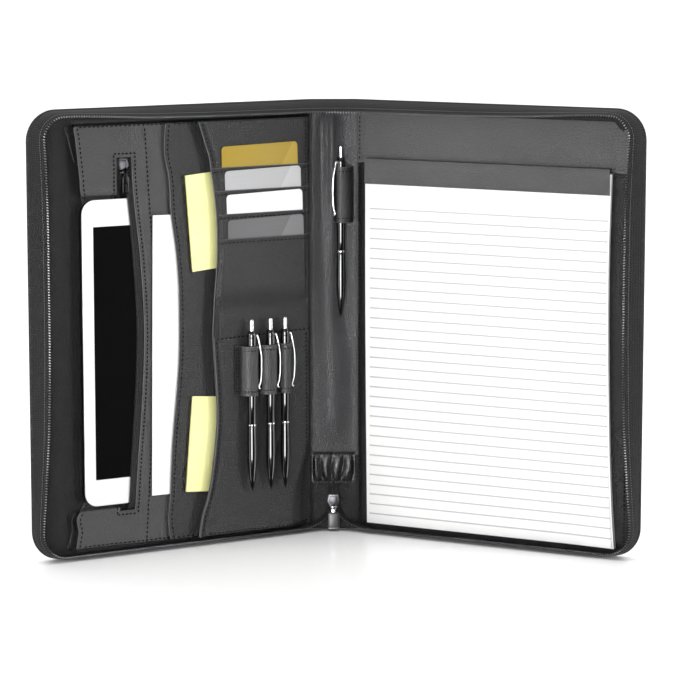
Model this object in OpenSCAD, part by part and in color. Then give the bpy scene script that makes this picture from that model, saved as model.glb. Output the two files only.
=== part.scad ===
// Zip-around document wallet that stands open like a book, with pad, pens, cards, notes and tablet.
// Millimetres, +Z up, +X to the right; the inside faces -Y; z = 0 is the floor.

/* [Folder] */
// height of the covers
folder_h = 350; // [345:1:365]
// width of a cover from its hinge line to its outer edge
cover_w = 248; // [245:1:260]
// width of the spine between the two hinge lines
spine_w = 38; // [38:1:46]
// angle of each cover from the plane of the spine
open_angle = 28.5; // [20:0.5:40]
// radius of the outer corners
corner_r = 24; // [20:1:30]

/* [Layers] */
// outer leatherette
skin_t = 1.0; // [0.8:0.1:1.2]
// greyboard stiffener
board_t = 1.6; // [1.2:0.1:1.8]
// inner lining
lining_t = 0.6; // [0.4:0.1:0.7]
// leatherette of the pocket fronts
panel_t = 0.7; // [0.5:0.1:0.8]

/* [Main zip] */
// width of the woven wall of the zip
tape_w = 13; // [10:0.5:14]
// thickness of the woven wall
tape_t = 0.8; // [0.6:0.1:1.0]
// length of the pull tab below its eye
pull_len = 16.5; // [12:0.5:16.5]

/* [Contents] */
// height of the tablet
tablet_h = 240; // [230:1:245]
// width of the tablet
tablet_w = 169.5; // [160:0.5:172]
// height of the writing pad
pad_h = 296; // [290:1:297]
// width of the writing pad
pad_w = 210; // [200:1:212]
// width of the cards
card_w = 68; // [60:1:70]
// height of the cards
card_h = 54; // [50:1:54]
// length of the pens with the button out
pen_len = 138; // [132:1:140]
// radius of the pen barrels
pen_r = 4.0; // [3.5:0.1:4.0]

/* [Hidden] */
$fn = 48;
// gap between a hinge line and the stiff parts beside it
hinge_gap = 4;
// turned edge of the outer skin, across and up
rim_w = 2;
stack = skin_t + board_t + lining_t;
// play between parts that lie on each other
play = 0.2;
// frontmost reach of the zip, which centres the footprint on the origin
zip_reach = stack + tape_t / 2 + tape_w + 2.5;
depth = (cover_w - 2.1) * sin(open_angle) + zip_reach * cos(open_angle);
y_shift = depth / 2;

// heights of the left cover's layers above its outer face
zip_low = stack + play;
tablet_n = zip_low + panel_t + 0.3;
tablet_t = 6.2;
zip_high = tablet_n + tablet_t + 0.3;
paper_n = zip_high + panel_t + play;
paper_t = 0.6;
second_n = paper_n + paper_t + play;
sticky_n = second_n + panel_t + play;
sticky_t = 2.0;
card_n = sticky_n + sticky_t + play;
pen_panel_n = card_n + panel_t + play;
loop_n = pen_panel_n + panel_t;
loop_wall = 0.7;
pen_play = 0.3;
loop_r = pen_r + pen_play + loop_wall;
pen_n = loop_n + loop_r;

// pocket fronts reach from panel_low to panel_high, between the two gussets
gusset_low = 6;
gusset_high = folder_h - 13.5;
gusset_t = 3;
panel_low = gusset_low + gusset_t + 0.1;
panel_high = gusset_high - gusset_t - 0.1;
panel_mid = folder_h / 2 - 4;
// outer edge of each pocket front at its ends, and how far it bows in at half height
zip_edge = 210;
zip_sag = 5.5;
second_edge = 134;
second_sag = 10.7;
card_edge = 107;
card_sag = 12;

// zipped slot in the first pocket front
slot_in = 163.5;
slot_out = 176;
slot_low = 34.5;
slot_high = 311.5;
zip_seam = (slot_in + slot_out) / 2;
zip_mid_n = (zip_low + zip_high + panel_t) / 2;
seam_top = slot_high - 7.5;
pocket_z = seam_top - 4;
// the pocket zip lies on the slope between the low and the high part of the panel
slot_slope = atan((zip_high - zip_low) / (slot_out - slot_in));

// card slots from the top one down
card_t = 0.7;
strip_t = 0.4;
layer_gap = 0.1;
hems = [300, 282, 263.5, 244];
card_tops = [317.5, 298.3, 279.7, 259.9];
card_starts = [20, 17.8, 17, 16.8];
card_turn = 1.5;
card_pitch = card_t + strip_t + 2 * layer_gap;
strip_in = 9.2;
strip_out = 90;
strip_knee = 13.2;
strip_drop = 4.2;

// pens on the left cover: distance from the hinge, height of the tip
pen_s = [65.3, 48.4, 35.2];
pen_tip = 41.3;
loop_low = 119;
loop_high = 158;
button_r = 1.9;
button_out = 9;
button_in = 5;
button_travel = 3.5;
barrel_len = pen_len - button_out;
// pen on the spine
spine_pen_x = 6;
spine_pen_tip = 175;
spine_pen_n = stack + loop_r;
spine_loop_low = 252;
spine_loop_high = 295;

// pad on the right cover
pad_in = 12.5;
pad_low = 7.5;
pad_back_n = stack + 1.0;
pad_back_t = 0.8;
pad_panel_n = pad_back_n + pad_back_t + play;
pad_n = pad_panel_n + panel_t + play;
pad_t = 3.2;
pad_head = 20;
header_t = 0.5;
pad_top = pad_low + pad_h;
pad_slot = pad_top - 3.5;
right_edge = 234;
pad_panel_in = 9.5;
pad_wall = 2.5;

// main zip
chain_w = 2;
chain_t = 1.8;
tape_start = 18;
tape_in = 1;
tape_n = stack + tape_t / 2;
corner_steps = 6;
run_steps = 8;
// how far the free edge of the tape leans in, along the top, down the side and at the foot
top_lean = [[0, 11], [150, 10.5], [224, 4.5]];
side_lean = [[24, 2], [97, 9], [180, 13], [266, 12.5], [326, 8.6]];
foot_lean = 3.5;
// main slider in front of the foot of the spine
slider_n = 9.2;
slider_z = 18;
slider_h = 12;
slider_w = 9;
slider_gap = 0.8;
plate_t = 1.1;
bar_r = 0.8;
bar_out = 2.6;
bar_z = 2;
bar_x = 2.4;
eye_r = 2.1;
eye_half = 1.1;
tail_top = 38.5;
band_low = 39.3;
band_high = 62.3;

// frame of the left cover: x outward from the hinge, y inward from the outer face
module left_side() {
    translate([-spine_w / 2, y_shift, 0])
        rotate([0, 0, 180 + open_angle])
            children();
}

// the same frame on the right cover
module right_side() {
    mirror([1, 0, 0])
        left_side()
            children();
}

// frame of the spine: x to the right, y inward from the outer face
module spine_side() {
    translate([0, y_shift, 0])
        mirror([0, 1, 0])
            children();
}

// an outline in x and z made into a sheet between two heights above the outer face
module slab(n0, n1) {
    translate([0, n1, 0])
        rotate([90, 0, 0])
            linear_extrude(n1 - n0)
                children();
}

// outline of a cover, drawn in by an inset on its three free sides
module cover_outline(inset) {
    r = corner_r - inset;
    translate([hinge_gap, inset])
        square([cover_w - corner_r - hinge_gap, folder_h - 2 * inset]);
    translate([cover_w - corner_r, corner_r])
        square([r, folder_h - 2 * corner_r]);
    for (z = [corner_r, folder_h - corner_r])
        translate([cover_w - corner_r, z])
            circle(r);
}

// outer sheet with an edge turned up around the board
module cover_skin() {
    difference() {
        slab(0, stack)
            cover_outline(0);
        slab(skin_t, stack + 1) {
            cover_outline(rim_w);
            translate([hinge_gap - 1, rim_w])
                square([corner_r, folder_h - 2 * rim_w]);
        }
    }
}

module cover_board() {
    slab(skin_t, skin_t + board_t)
        cover_outline(rim_w + 0.1);
}

module cover_lining() {
    slab(skin_t + board_t, stack)
        cover_outline(rim_w + 0.1);
}

// rectangle in x and z with rounded corners
module round_rect(s0, s1, z0, z1, r) {
    translate([s0 + r, z0])
        square([s1 - s0 - 2 * r, z1 - z0]);
    translate([s0, z0 + r])
        square([s1 - s0, z1 - z0 - 2 * r]);
    for (s = [s0 + r, s1 - r])
        for (z = [z0 + r, z1 - r])
            translate([s, z])
                circle(r);
}

// a sheet that follows a line of points in x and y, between two heights
module bent_sheet(line, t, z0, z1) {
    back = [for (i = [len(line) - 1:-1:0]) line[i] + [0, t]];
    translate([0, 0, z0])
        linear_extrude(z1 - z0)
            polygon(concat(line, back));
}

// a body that cuts the free edge of a pocket front to a shallow bow
module bow_cutter(edge, sag) {
    chord = panel_high - panel_low;
    r = chord * chord / (8 * sag) + sag / 2;
    translate([edge - sag + r, 30, panel_mid])
        rotate([90, 0, 0])
            cylinder(r = r, h = 40, $fn = 360);
}

// solid through rings of four points
module ring_sweep(rings) {
    last = len(rings) - 1;
    points = [for (ring = rings) each ring];
    sides = [for (i = [0:last - 1]) for (k = [0:3]) each [
        [4 * i + k, 4 * i + (k + 1) % 4, 4 * i + 4 + k],
        [4 * i + (k + 1) % 4, 4 * i + 4 + (k + 1) % 4, 4 * i + 4 + k]
    ]];
    caps = [
        [2, 1, 0],
        [3, 2, 0],
        [4 * last, 4 * last + 1, 4 * last + 2],
        [4 * last, 4 * last + 2, 4 * last + 3]
    ];
    polyhedron(points = points, faces = concat(sides, caps));
}

// stations along the zip's path: x, z, the way inward in x and z, and the lean
function mix(a, b, t) = a + (b - a) * t;
function run_station(t) =
    let (s = mix(tape_start, cover_w - corner_r, t))
    [s, folder_h, 0, -1, lookup(s, top_lean)];
function turn_station(z, a, lean) =
    [cover_w - corner_r + corner_r * cos(a), z + corner_r * sin(a), -cos(a), -sin(a), lean];
function side_station(t) =
    let (z = mix(folder_h - corner_r, corner_r, t))
    [cover_w, z, -1, 0, lookup(z, side_lean)];
function foot_station(t) = [mix(cover_w - corner_r, tape_start, t), 0, 0, 1, foot_lean];
stations = concat(
    [for (i = [0:run_steps]) run_station(i / run_steps)],
    [for (i = [1:corner_steps - 1])
        turn_station(folder_h - corner_r, 90 - 90 * i / corner_steps, mix(4.5, 8.6, i / corner_steps))],
    [for (i = [0:run_steps]) side_station(i / run_steps)],
    [for (i = [1:corner_steps - 1])
        turn_station(corner_r, -90 * i / corner_steps, mix(2, foot_lean, i / corner_steps))],
    [for (i = [0:run_steps]) foot_station(i / run_steps)]
);

// cross section of the tape at a station, from w0 to w1 across and t to each side
function lean_run(lean) = (lean - tape_in) / tape_w;
function lean_rise(lean) = sqrt(1 - pow(lean_run(lean), 2));
function tape_point(st, w, t) =
    let (
        a = lean_run(st[4]),
        b = lean_rise(st[4]),
        inset = tape_in + a * w + b * t,
        n = tape_n + b * w - a * t
    )
    [st[0] + st[2] * inset, n, st[1] + st[3] * inset];
function tape_ring(st, w0, w1, t) = [
    tape_point(st, w0, -t),
    tape_point(st, w1, -t),
    tape_point(st, w1, t),
    tape_point(st, w0, t)
];

// points of the cover frames in the common frame
function left_point(p) = [
    -spine_w / 2 - p[0] * cos(open_angle) + p[1] * sin(open_angle),
    y_shift - p[0] * sin(open_angle) - p[1] * cos(open_angle),
    p[2]
];
function flip_x(p) = [-p[0], p[1], p[2]];
function spine_point(p) = [p[0], y_shift - p[1], p[2]];

module cover_tape() {
    ring_sweep([for (st = stations) tape_ring(st, 0, tape_w, tape_t / 2)]);
}

module cover_chain() {
    ring_sweep([for (st = stations) tape_ring(st, tape_w + play, tape_w + chain_w, chain_t / 2)]);
}

// height of the bail's bar above the middle of the slider, clear of the eye on a turned plate
function bar_height(turn) = slider_gap + plate_t + bar_out + eye_half * tan(turn);

// slider: front and back plate on a post at the end where the tapes split, turned with the tapes, and a bail
module slider_body(turn) {
    half = slider_w / 2;
    shoulder = slider_h * 0.45;
    outline = [
        [-half * 0.6, 0],
        [half * 0.6, 0],
        [half, shoulder],
        [half * 0.75, slider_h],
        [-half * 0.75, slider_h],
        [-half, shoulder]
    ];
    rotate([0, 0, -turn]) {
        slab(slider_gap, slider_gap + plate_t)
            polygon(outline);
        slab(-slider_gap - plate_t, -slider_gap)
            polygon(outline);
        slab(-slider_gap - 0.1, slider_gap + 0.1)
            polygon([[-1.2, 0.4], [1.2, 0.4], [0, 3.2]]);
    }
    bar_n = bar_height(turn);
    for (x = [-bar_x, bar_x]) {
        foot_n = (slider_gap + plate_t * 0.7) / cos(turn) - x * tan(turn);
        translate([x - bar_r, foot_n, bar_z - bar_r])
            cube([2 * bar_r, bar_n + bar_r - foot_n, 2 * bar_r]);
    }
    translate([-bar_x, bar_n, bar_z])
        rotate([0, 90, 0])
            cylinder(r = bar_r, h = 2 * bar_x);
}

// pull tab that hangs from the bail, eye at the origin
module pull_tab(width, length, hole) {
    rotate([0, 90, 0])
        difference() {
            translate([0, 0, -eye_half])
                cylinder(r = eye_r, h = 2 * eye_half);
            translate([0, 0, -eye_half - 1])
                cylinder(r = bar_r + 0.3, h = 2 * eye_half + 2);
        }
    translate([-eye_half, -0.8, -eye_r - 2])
        cube([2 * eye_half, 1.6, 2.6]);
    slab(-1, 1)
        difference() {
            round_rect(-width / 2, width / 2, -length - eye_r, -eye_r - 1.4, 1.5);
            if (hole > 0)
                round_rect(-width / 4, width / 4, -length - eye_r + 2, -length - eye_r + 2 + hole, 1);
        }
}

// pen parts stand on their tip at the origin
module pen_barrel() {
    bore_low = barrel_len - button_in - button_travel - 0.3;
    rotate_extrude()
        polygon([
            [0, 0],
            [0.5, 0],
            [1.2, 3],
            [2.6, 13],
            [pen_r - 0.4, 22],
            [pen_r - 0.1, 51],
            [pen_r, 53],
            [pen_r, 55],
            [pen_r - 0.1, 57],
            [pen_r - 0.1, barrel_len - 4],
            [pen_r - 0.7, barrel_len],
            [button_r + 0.15, barrel_len],
            [button_r + 0.15, bore_low],
            [0, bore_low]
        ]);
}

module pen_button() {
    translate([0, 0, barrel_len - button_in])
        cylinder(r = button_r, h = button_out + button_in - 0.6);
    translate([0, 0, pen_len - 0.6])
        cylinder(r1 = button_r, r2 = button_r - 0.4, h = 0.6);
}

// clip on the +x side, outside the loop
module pen_clip() {
    reach = loop_r + 0.5;
    foot = barrel_len - 8;
    translate([reach, -1.1, foot - 45])
        cube([1.1, 2.2, 47.4]);
    difference() {
        translate([pen_r - 1, -1.1, foot])
            cube([reach - pen_r + 1.2, 2.2, 2.4]);
        translate([0, 0, foot - 1])
            cylinder(r = pen_r - 0.1, h = 5);
    }
}

module at_pen(i) {
    left_side()
        translate([pen_s[i], pen_n, pen_tip])
            rotate([0, 0, 180])
                children();
}

module at_spine_pen() {
    spine_side()
        translate([spine_pen_x, spine_pen_n, spine_pen_tip])
            rotate([0, 0, 180])
                children();
}

// card in its slot, turned a little about its middle
module card_at(i) {
    n = card_n + panel_t + layer_gap + i * card_pitch;
    half_w = card_w / 2;
    half_h = card_h / 2;
    left_side()
        translate([card_starts[i] + half_w, 0, card_tops[i] - half_h])
            rotate([0, card_turn, 0])
                slab(n, n + card_t)
                    round_rect(-half_w, half_w, -half_h, half_h, 3.2);
}

// leaves with their free edge at s, turned about that edge's middle
module leaves_at(s, z, turn, width, height, n, t) {
    left_side()
        translate([s, 0, z])
            rotate([0, turn, 0])
                translate([-width, n, -height / 2])
                    cube([width, t, height]);
}

module sticky_at(s, z, turn) {
    side = 76;
    leaves_at(s, z, turn, side, side, sticky_n, sticky_t);
}

// Spine

module spine_skin() {
    color([0.09, 0.09, 0.095])
        spine_side()
            translate([-spine_w / 2 + hinge_gap, 0, 0])
                cube([spine_w - 2 * hinge_gap, skin_t, folder_h]);
}

module spine_board() {
    color([0.45, 0.43, 0.4])
        spine_side()
            translate([-spine_w / 2 + hinge_gap, skin_t, rim_w])
                cube([spine_w - 2 * hinge_gap, board_t, folder_h - 2 * rim_w]);
}

module spine_lining() {
    color([0.16, 0.16, 0.165])
        spine_side()
            translate([-spine_w / 2 + hinge_gap, skin_t + board_t, rim_w])
                cube([spine_w - 2 * hinge_gap, lining_t, folder_h - 2 * rim_w]);
}

// fold between spine and left cover, from the spine's skin over the hinge line to the cover's skin
module fold_strip() {
    inner = skin_t * tan(open_angle / 2);
    translate([-spine_w / 2, y_shift, 0])
        linear_extrude(folder_h)
            polygon([
                [hinge_gap, 0],
                [0, 0],
                [-hinge_gap * cos(open_angle), -hinge_gap * sin(open_angle)],
                [-hinge_gap * cos(open_angle) + skin_t * sin(open_angle),
                    -hinge_gap * sin(open_angle) - skin_t * cos(open_angle)],
                [inner, -skin_t],
                [hinge_gap, -skin_t]
            ]);
}

module left_crease() {
    color([0.09, 0.09, 0.095])
        fold_strip();
}

module right_crease() {
    color([0.09, 0.09, 0.095])
        mirror([1, 0, 0])
            fold_strip();
}

// tape over the top of the spine, from cover to cover
module spine_zip_tape() {
    start = run_station(0);
    side = tape_ring(start, 0, tape_w, tape_t / 2);
    flat = [for (p = side) [spine_w / 2 - hinge_gap - 3, p[1], p[2]]];
    color([0.1, 0.1, 0.105])
        ring_sweep([
            [for (p = side) left_point(p)],
            [for (p = flat) flip_x(spine_point(p))],
            [for (p = flat) spine_point(p)],
            [for (p = side) flip_x(left_point(p))]
        ]);
}

// half of the closed zip above the slider, and the tape that runs on from it to the foot of a cover
tail_half = 4;
tail_t = 0.35;
tail_bend_low = [-8.5, 12.5, 10];
tail_bend_high = [-14, 7, 12];
function tail_ring(outer, free) = [
    spine_point(outer - [0, tail_t, 0]),
    spine_point(free - [0, tail_t, 0]),
    spine_point(free + [0, tail_t, 0]),
    spine_point(outer + [0, tail_t, 0])
];
function stem_ring(n, z) = tail_ring([-tail_half, n, z], [-0.15, n, z]);

module tail_half_tape() {
    ring_sweep([
        stem_ring(stack + 0.6, tail_top),
        stem_ring(slider_n, slider_z + slider_h + 1),
        stem_ring(slider_n, slider_z + 5),
        tail_ring([-5.5, slider_n, slider_z + 2.5], [-1.7, slider_n, slider_z + 0.6]),
        tail_ring(tail_bend_high, tail_bend_low),
        [for (p = tape_ring(foot_station(1), 0, tape_w, tape_t / 2)) left_point(p)]
    ]);
}

module left_tail() {
    color([0.1, 0.1, 0.105])
        tail_half_tape();
}

module right_tail() {
    color([0.1, 0.1, 0.105])
        mirror([1, 0, 0])
            tail_half_tape();
}

// gathered lining, folded in upright waves
module gather_band() {
    half = spine_w / 2 - hinge_gap;
    steps = 40;
    line = [for (i = [0:steps]) [
        mix(-half, half, i / steps),
        stack + 1.6 - 1.5 * cos(360 * 4 * i / steps)
    ]];
    color([0.16, 0.16, 0.165])
        spine_side()
            bent_sheet(line, panel_t, band_low, band_high);
}

// loop with a flange sewn into the right seam
module spine_pen_loop() {
    color([0.13, 0.13, 0.135])
        spine_side()
            translate([spine_pen_x, spine_pen_n, spine_loop_low])
                difference() {
                    union() {
                        cylinder(r = loop_r, h = spine_loop_high - spine_loop_low);
                        translate([0, -loop_r, 0])
                            cube([spine_w / 2 - hinge_gap - spine_pen_x, loop_wall, spine_loop_high - spine_loop_low]);
                    }
                    translate([0, 0, -1])
                        cylinder(r = pen_r + pen_play, h = folder_h);
                }
}

// Main zip

module zip_slider() {
    color([0.75, 0.75, 0.76])
        spine_side()
            translate([0, slider_n, slider_z])
                slider_body(0);
}

module zip_pull() {
    color([0.2, 0.2, 0.21])
        spine_side()
            translate([0, slider_n + bar_height(0), slider_z + bar_z])
                pull_tab(slider_w, pull_len, 0);
}

// Left cover

module left_skin() {
    color([0.09, 0.09, 0.095])
        left_side()
            cover_skin();
}

module left_board() {
    color([0.45, 0.43, 0.4])
        left_side()
            cover_board();
}

module left_lining() {
    color([0.13, 0.13, 0.135])
        left_side()
            cover_lining();
}

module left_zip_tape() {
    color([0.1, 0.1, 0.105])
        left_side()
            cover_tape();
}

module left_zip_chain() {
    color([0.6, 0.6, 0.62])
        left_side()
            cover_chain();
}

// first pocket front: low under the outer part of the tablet, high over its inner part
module zip_panel() {
    line = [
        [zip_edge, zip_low],
        [slot_out, zip_low],
        [slot_in, zip_high],
        [35, zip_high],
        [8, zip_low]
    ];
    color([0.2, 0.2, 0.205])
        left_side()
            difference() {
                bent_sheet(line, panel_t, panel_low, panel_high);
                bow_cutter(zip_edge, zip_sag);
                translate([slot_in, 0, slot_low])
                    cube([slot_out - slot_in, 30, slot_high - slot_low]);
            }
}

module second_panel() {
    color([0.2, 0.2, 0.205])
        left_side()
            difference() {
                bent_sheet([[second_edge, second_n], [30, second_n], [7, zip_low + 1]],
                    panel_t, panel_low, panel_high);
                bow_cutter(second_edge, second_sag);
            }
}

module card_panel() {
    color([0.2, 0.2, 0.205])
        left_side()
            difference() {
                bent_sheet([[card_edge, card_n], [24, card_n], [6, zip_low + 2]],
                    panel_t, panel_low, panel_high);
                bow_cutter(card_edge, card_sag);
            }
}

// low pocket front that carries the pen loops
module pen_panel() {
    pen_panel_high = 168;
    color([0.2, 0.2, 0.205])
        left_side()
            difference() {
                bent_sheet([[card_edge, pen_panel_n], [24, pen_panel_n], [7.5, zip_low + 4.1]],
                    panel_t, panel_low, pen_panel_high);
                bow_cutter(card_edge - 0.5, card_sag);
            }
}

// four shingled slots, joined along the seam beside the spine
module card_strips() {
    base = card_n + panel_t;
    seam_w = 2;
    color([0.2, 0.2, 0.205])
        left_side() {
            for (i = [0:3])
                card_strip(base + layer_gap + i * card_pitch + card_t + layer_gap, i);
            translate([strip_in - 1.5, base - strip_drop + 0.9, card_tops[3] - card_h - 3])
                cube([seam_w, 4 * card_pitch - 0.3, hems[0] - card_tops[3] + card_h + 3]);
        }
}

module card_strip(n, i) {
    line = [
        [strip_out, n],
        [strip_knee, n],
        [strip_in, n - strip_drop]
    ];
    bent_sheet(line, strip_t, card_tops[i] - card_h - 3, hems[i]);
}

// one strip sewn down between three loops
module pen_loops() {
    high = loop_high - loop_low;
    color([0.15, 0.15, 0.155])
        left_side()
            translate([0, 0, loop_low])
                difference() {
                    union() {
                        for (s = pen_s)
                            translate([s, pen_n, 0])
                                cylinder(r = loop_r, h = high);
                        translate([pen_s[2], loop_n, 0])
                            cube([pen_s[0] - pen_s[2] + 12, loop_wall, high]);
                    }
                    for (s = pen_s)
                        translate([s, pen_n, -1])
                            cylinder(r = pen_r + pen_play, h = high + 2);
                }
}

// end wall of the pockets, stepped like the pocket fronts that it closes
module pocket_gusset(z0) {
    top = card_n + panel_t;
    gusset_in = 12;
    gusset_in_n = mix(zip_low + 2 + panel_t, top, (gusset_in - 6) / 18);
    translate([0, 0, z0])
        linear_extrude(gusset_t)
            polygon([
                [gusset_in, stack],
                [zip_edge, stack],
                [zip_edge, zip_low + panel_t],
                [slot_out, zip_low + panel_t],
                [slot_in, zip_high + panel_t],
                [second_edge, zip_high + panel_t],
                [second_edge, second_n + panel_t],
                [card_edge, second_n + panel_t],
                [card_edge, top],
                [24, top],
                [gusset_in, gusset_in_n]
            ]);
}

module pocket_top_gusset() {
    color([0.17, 0.17, 0.175])
        left_side()
            pocket_gusset(gusset_high - gusset_t);
}

module pocket_bottom_gusset() {
    color([0.17, 0.17, 0.175])
        left_side()
            pocket_gusset(gusset_low);
}

// the pocket zip's tapes meet at the slider and part around the tablet
function inner_ring(z, s, n) = [
    [slot_in, zip_high, z],
    [s, n, z],
    [s, n + panel_t, z],
    [slot_in, zip_high + panel_t, z]
];
function outer_ring(z, s, n) = [
    [s, n, z],
    [slot_out, zip_low, z],
    [slot_out, zip_low + panel_t, z],
    [s, n + panel_t, z]
];

function slope_n(s) = mix(zip_high, zip_low, (s - slot_in) / (slot_out - slot_in));

module pocket_zip_tape() {
    seam_gap = 0.3;
    spread = 1.7;
    low = slot_low + 1;
    part_low = low + 4;
    part_high = tablet_low + tablet_h + 6;
    free_in = slot_in + 3.5;
    free_out = slot_out - 5.5;
    inner_seam = zip_seam - seam_gap;
    outer_seam = zip_seam + seam_gap;
    inner_part = zip_seam - spread;
    outer_part = zip_seam + spread;
    color([0.1, 0.1, 0.105])
        left_side() {
            ring_sweep([
                inner_ring(low, inner_seam, slope_n(inner_seam)),
                inner_ring(part_low, free_in, zip_high),
                inner_ring(part_high, free_in, zip_high),
                inner_ring(pocket_z - 1, inner_part, slope_n(inner_part)),
                inner_ring(pocket_z + 5, inner_seam, slope_n(inner_seam)),
                inner_ring(slot_high - 0.2, inner_seam, slope_n(inner_seam))
            ]);
            ring_sweep([
                outer_ring(low, outer_seam, slope_n(outer_seam)),
                outer_ring(part_low, free_out, zip_low),
                outer_ring(part_high, free_out, zip_low),
                outer_ring(pocket_z - 1, outer_part, slope_n(outer_part)),
                outer_ring(pocket_z + 5, outer_seam, slope_n(outer_seam)),
                outer_ring(slot_high - 0.2, outer_seam, slope_n(outer_seam))
            ]);
        }
}

module at_pocket_zip() {
    left_side()
        translate([zip_seam, zip_mid_n, pocket_z - 1])
            children();
}

module pocket_slider() {
    color([0.08, 0.08, 0.085])
        at_pocket_zip()
            slider_body(slot_slope);
}

module pocket_pull() {
    color([0.1, 0.1, 0.105])
        at_pocket_zip()
            translate([0, bar_height(slot_slope), bar_z])
                pull_tab(6, 16, 7);
}

// Contents of the left cover

tablet_out = 206.5;
tablet_low = 40;
tablet_r = 11;
tablet_bezel = 1.2;
screen_side = 9.5;
screen_end = 21;

module tablet_outline() {
    round_rect(tablet_out - tablet_w, tablet_out, tablet_low, tablet_low + tablet_h, tablet_r);
}

module screen_outline(grow) {
    translate([tablet_out - tablet_w + screen_side - grow, tablet_low + screen_end - grow])
        square([tablet_w - 2 * screen_side + 2 * grow, tablet_h - 2 * screen_end + 2 * grow]);
}

module tablet_shell() {
    color([0.8, 0.8, 0.81])
        left_side()
            slab(tablet_n, tablet_n + tablet_t - tablet_bezel)
                tablet_outline();
}

module tablet_front() {
    color([0.95, 0.95, 0.95])
        left_side()
            slab(tablet_n + tablet_t - tablet_bezel, tablet_n + tablet_t)
                difference() {
                    tablet_outline();
                    screen_outline(0);
                }
}

module tablet_screen() {
    color([0.02, 0.02, 0.02])
        left_side()
            slab(tablet_n + tablet_t - tablet_bezel, tablet_n + tablet_t - 0.05)
                screen_outline(-0.05);
}

module paper() {
    color([0.96, 0.96, 0.95])
        leaves_at(148.2, 155, -0.8, 105, 221, paper_n, paper_t);
}

module sticky_upper() {
    color([0.98, 0.97, 0.62])
        sticky_at(116.8, 257.5, 4.6);
}

module sticky_lower() {
    color([0.98, 0.97, 0.62])
        sticky_at(117.9, 83.1, -5);
}

module card_gold() {
    color([0.75, 0.62, 0.3])
        card_at(0);
}

module card_silver() {
    color([0.75, 0.75, 0.75])
        card_at(1);
}

module card_white() {
    color([0.96, 0.96, 0.96])
        card_at(2);
}

module card_grey() {
    color([0.45, 0.45, 0.46])
        card_at(3);
}

module black_barrel() {
    color([0.03, 0.03, 0.03])
        pen_barrel();
}

module silver_clip() {
    color([0.85, 0.85, 0.86])
        pen_clip();
}

module silver_button() {
    color([0.85, 0.85, 0.86])
        pen_button();
}

// Right cover

module right_skin() {
    color([0.09, 0.09, 0.095])
        right_side()
            cover_skin();
}

module right_board() {
    color([0.45, 0.43, 0.4])
        right_side()
            cover_board();
}

module right_lining() {
    color([0.13, 0.13, 0.135])
        right_side()
            cover_lining();
}

module right_zip_tape() {
    color([0.1, 0.1, 0.105])
        right_side()
            cover_tape();
}

module right_zip_chain() {
    color([0.6, 0.6, 0.62])
        right_side()
            cover_chain();
}

// pocket front for the pad's backing card, sewn down on three sides
module pad_panel() {
    color([0.2, 0.2, 0.205])
        right_side()
            difference() {
                slab(stack, pad_panel_n + panel_t)
                    translate([pad_panel_in, gusset_low])
                        square([right_edge - pad_panel_in, pad_slot - 0.3 - gusset_low]);
                slab(stack - 1, pad_panel_n)
                    translate([pad_panel_in + pad_wall, gusset_low + pad_wall])
                        square([right_edge - pad_panel_in - 2 * pad_wall, folder_h]);
            }
}

module top_panel() {
    color([0.22, 0.22, 0.225])
        right_side()
            slab(stack, pad_back_n - play)
                translate([6, pad_slot])
                    square([right_edge - 6, gusset_high - pad_slot]);
}

module pad_back() {
    back_low = gusset_low + pad_wall + 3;
    color([0.5, 0.46, 0.4])
        right_side()
            slab(pad_back_n, pad_back_n + pad_back_t)
                translate([pad_in, back_low])
                    square([pad_w, pad_slot - back_low]);
}

module pad_sheets() {
    color([0.97, 0.97, 0.97])
        right_side()
            slab(pad_n, pad_n + pad_t)
                translate([pad_in, pad_low])
                    square([pad_w, pad_slot - pad_low]);
}

// binding strip over the pad's top edge, joining sheets and backing card
module pad_header() {
    front = pad_n + pad_t;
    color([0.2, 0.2, 0.205])
        right_side()
            translate([pad_in, 0, 0]) {
                translate([0, front, pad_top - pad_head])
                    cube([pad_w, header_t, pad_head]);
                translate([0, pad_back_n, pad_slot])
                    cube([pad_w, front - pad_back_n + 0.1, pad_top - pad_slot]);
            }
}

spine_skin();
spine_board();
spine_lining();
left_crease();
right_crease();
spine_zip_tape();
left_tail();
right_tail();
gather_band();
spine_pen_loop();
zip_slider();
zip_pull();
left_skin();
left_board();
left_lining();
left_zip_tape();
left_zip_chain();
zip_panel();
second_panel();
card_panel();
pen_panel();
card_strips();
pen_loops();
pocket_top_gusset();
pocket_bottom_gusset();
pocket_zip_tape();
pocket_slider();
pocket_pull();
tablet_shell();
tablet_front();
tablet_screen();
paper();
sticky_upper();
sticky_lower();
card_gold();
card_silver();
card_white();
card_grey();
at_pen(0) black_barrel();  // pen_1_barrel
at_pen(0) silver_clip();  // pen_1_clip
at_pen(0) silver_button();  // pen_1_button
at_pen(1) black_barrel();  // pen_2_barrel
at_pen(1) silver_clip();  // pen_2_clip
at_pen(1) silver_button();  // pen_2_button
at_pen(2) black_barrel();  // pen_3_barrel
at_pen(2) silver_clip();  // pen_3_clip
at_pen(2) silver_button();  // pen_3_button
at_spine_pen() black_barrel();  // spine_pen_barrel
at_spine_pen() silver_clip();  // spine_pen_clip
at_spine_pen() silver_button();  // spine_pen_button
right_skin();
right_board();
right_lining();
right_zip_tape();
right_zip_chain();
pad_panel();
top_panel();
pad_back();
pad_sheets();
pad_header();
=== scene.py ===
"""Zip-around document wallet standing open like a book: its soft pieces, contents and finishes."""

import math

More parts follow.
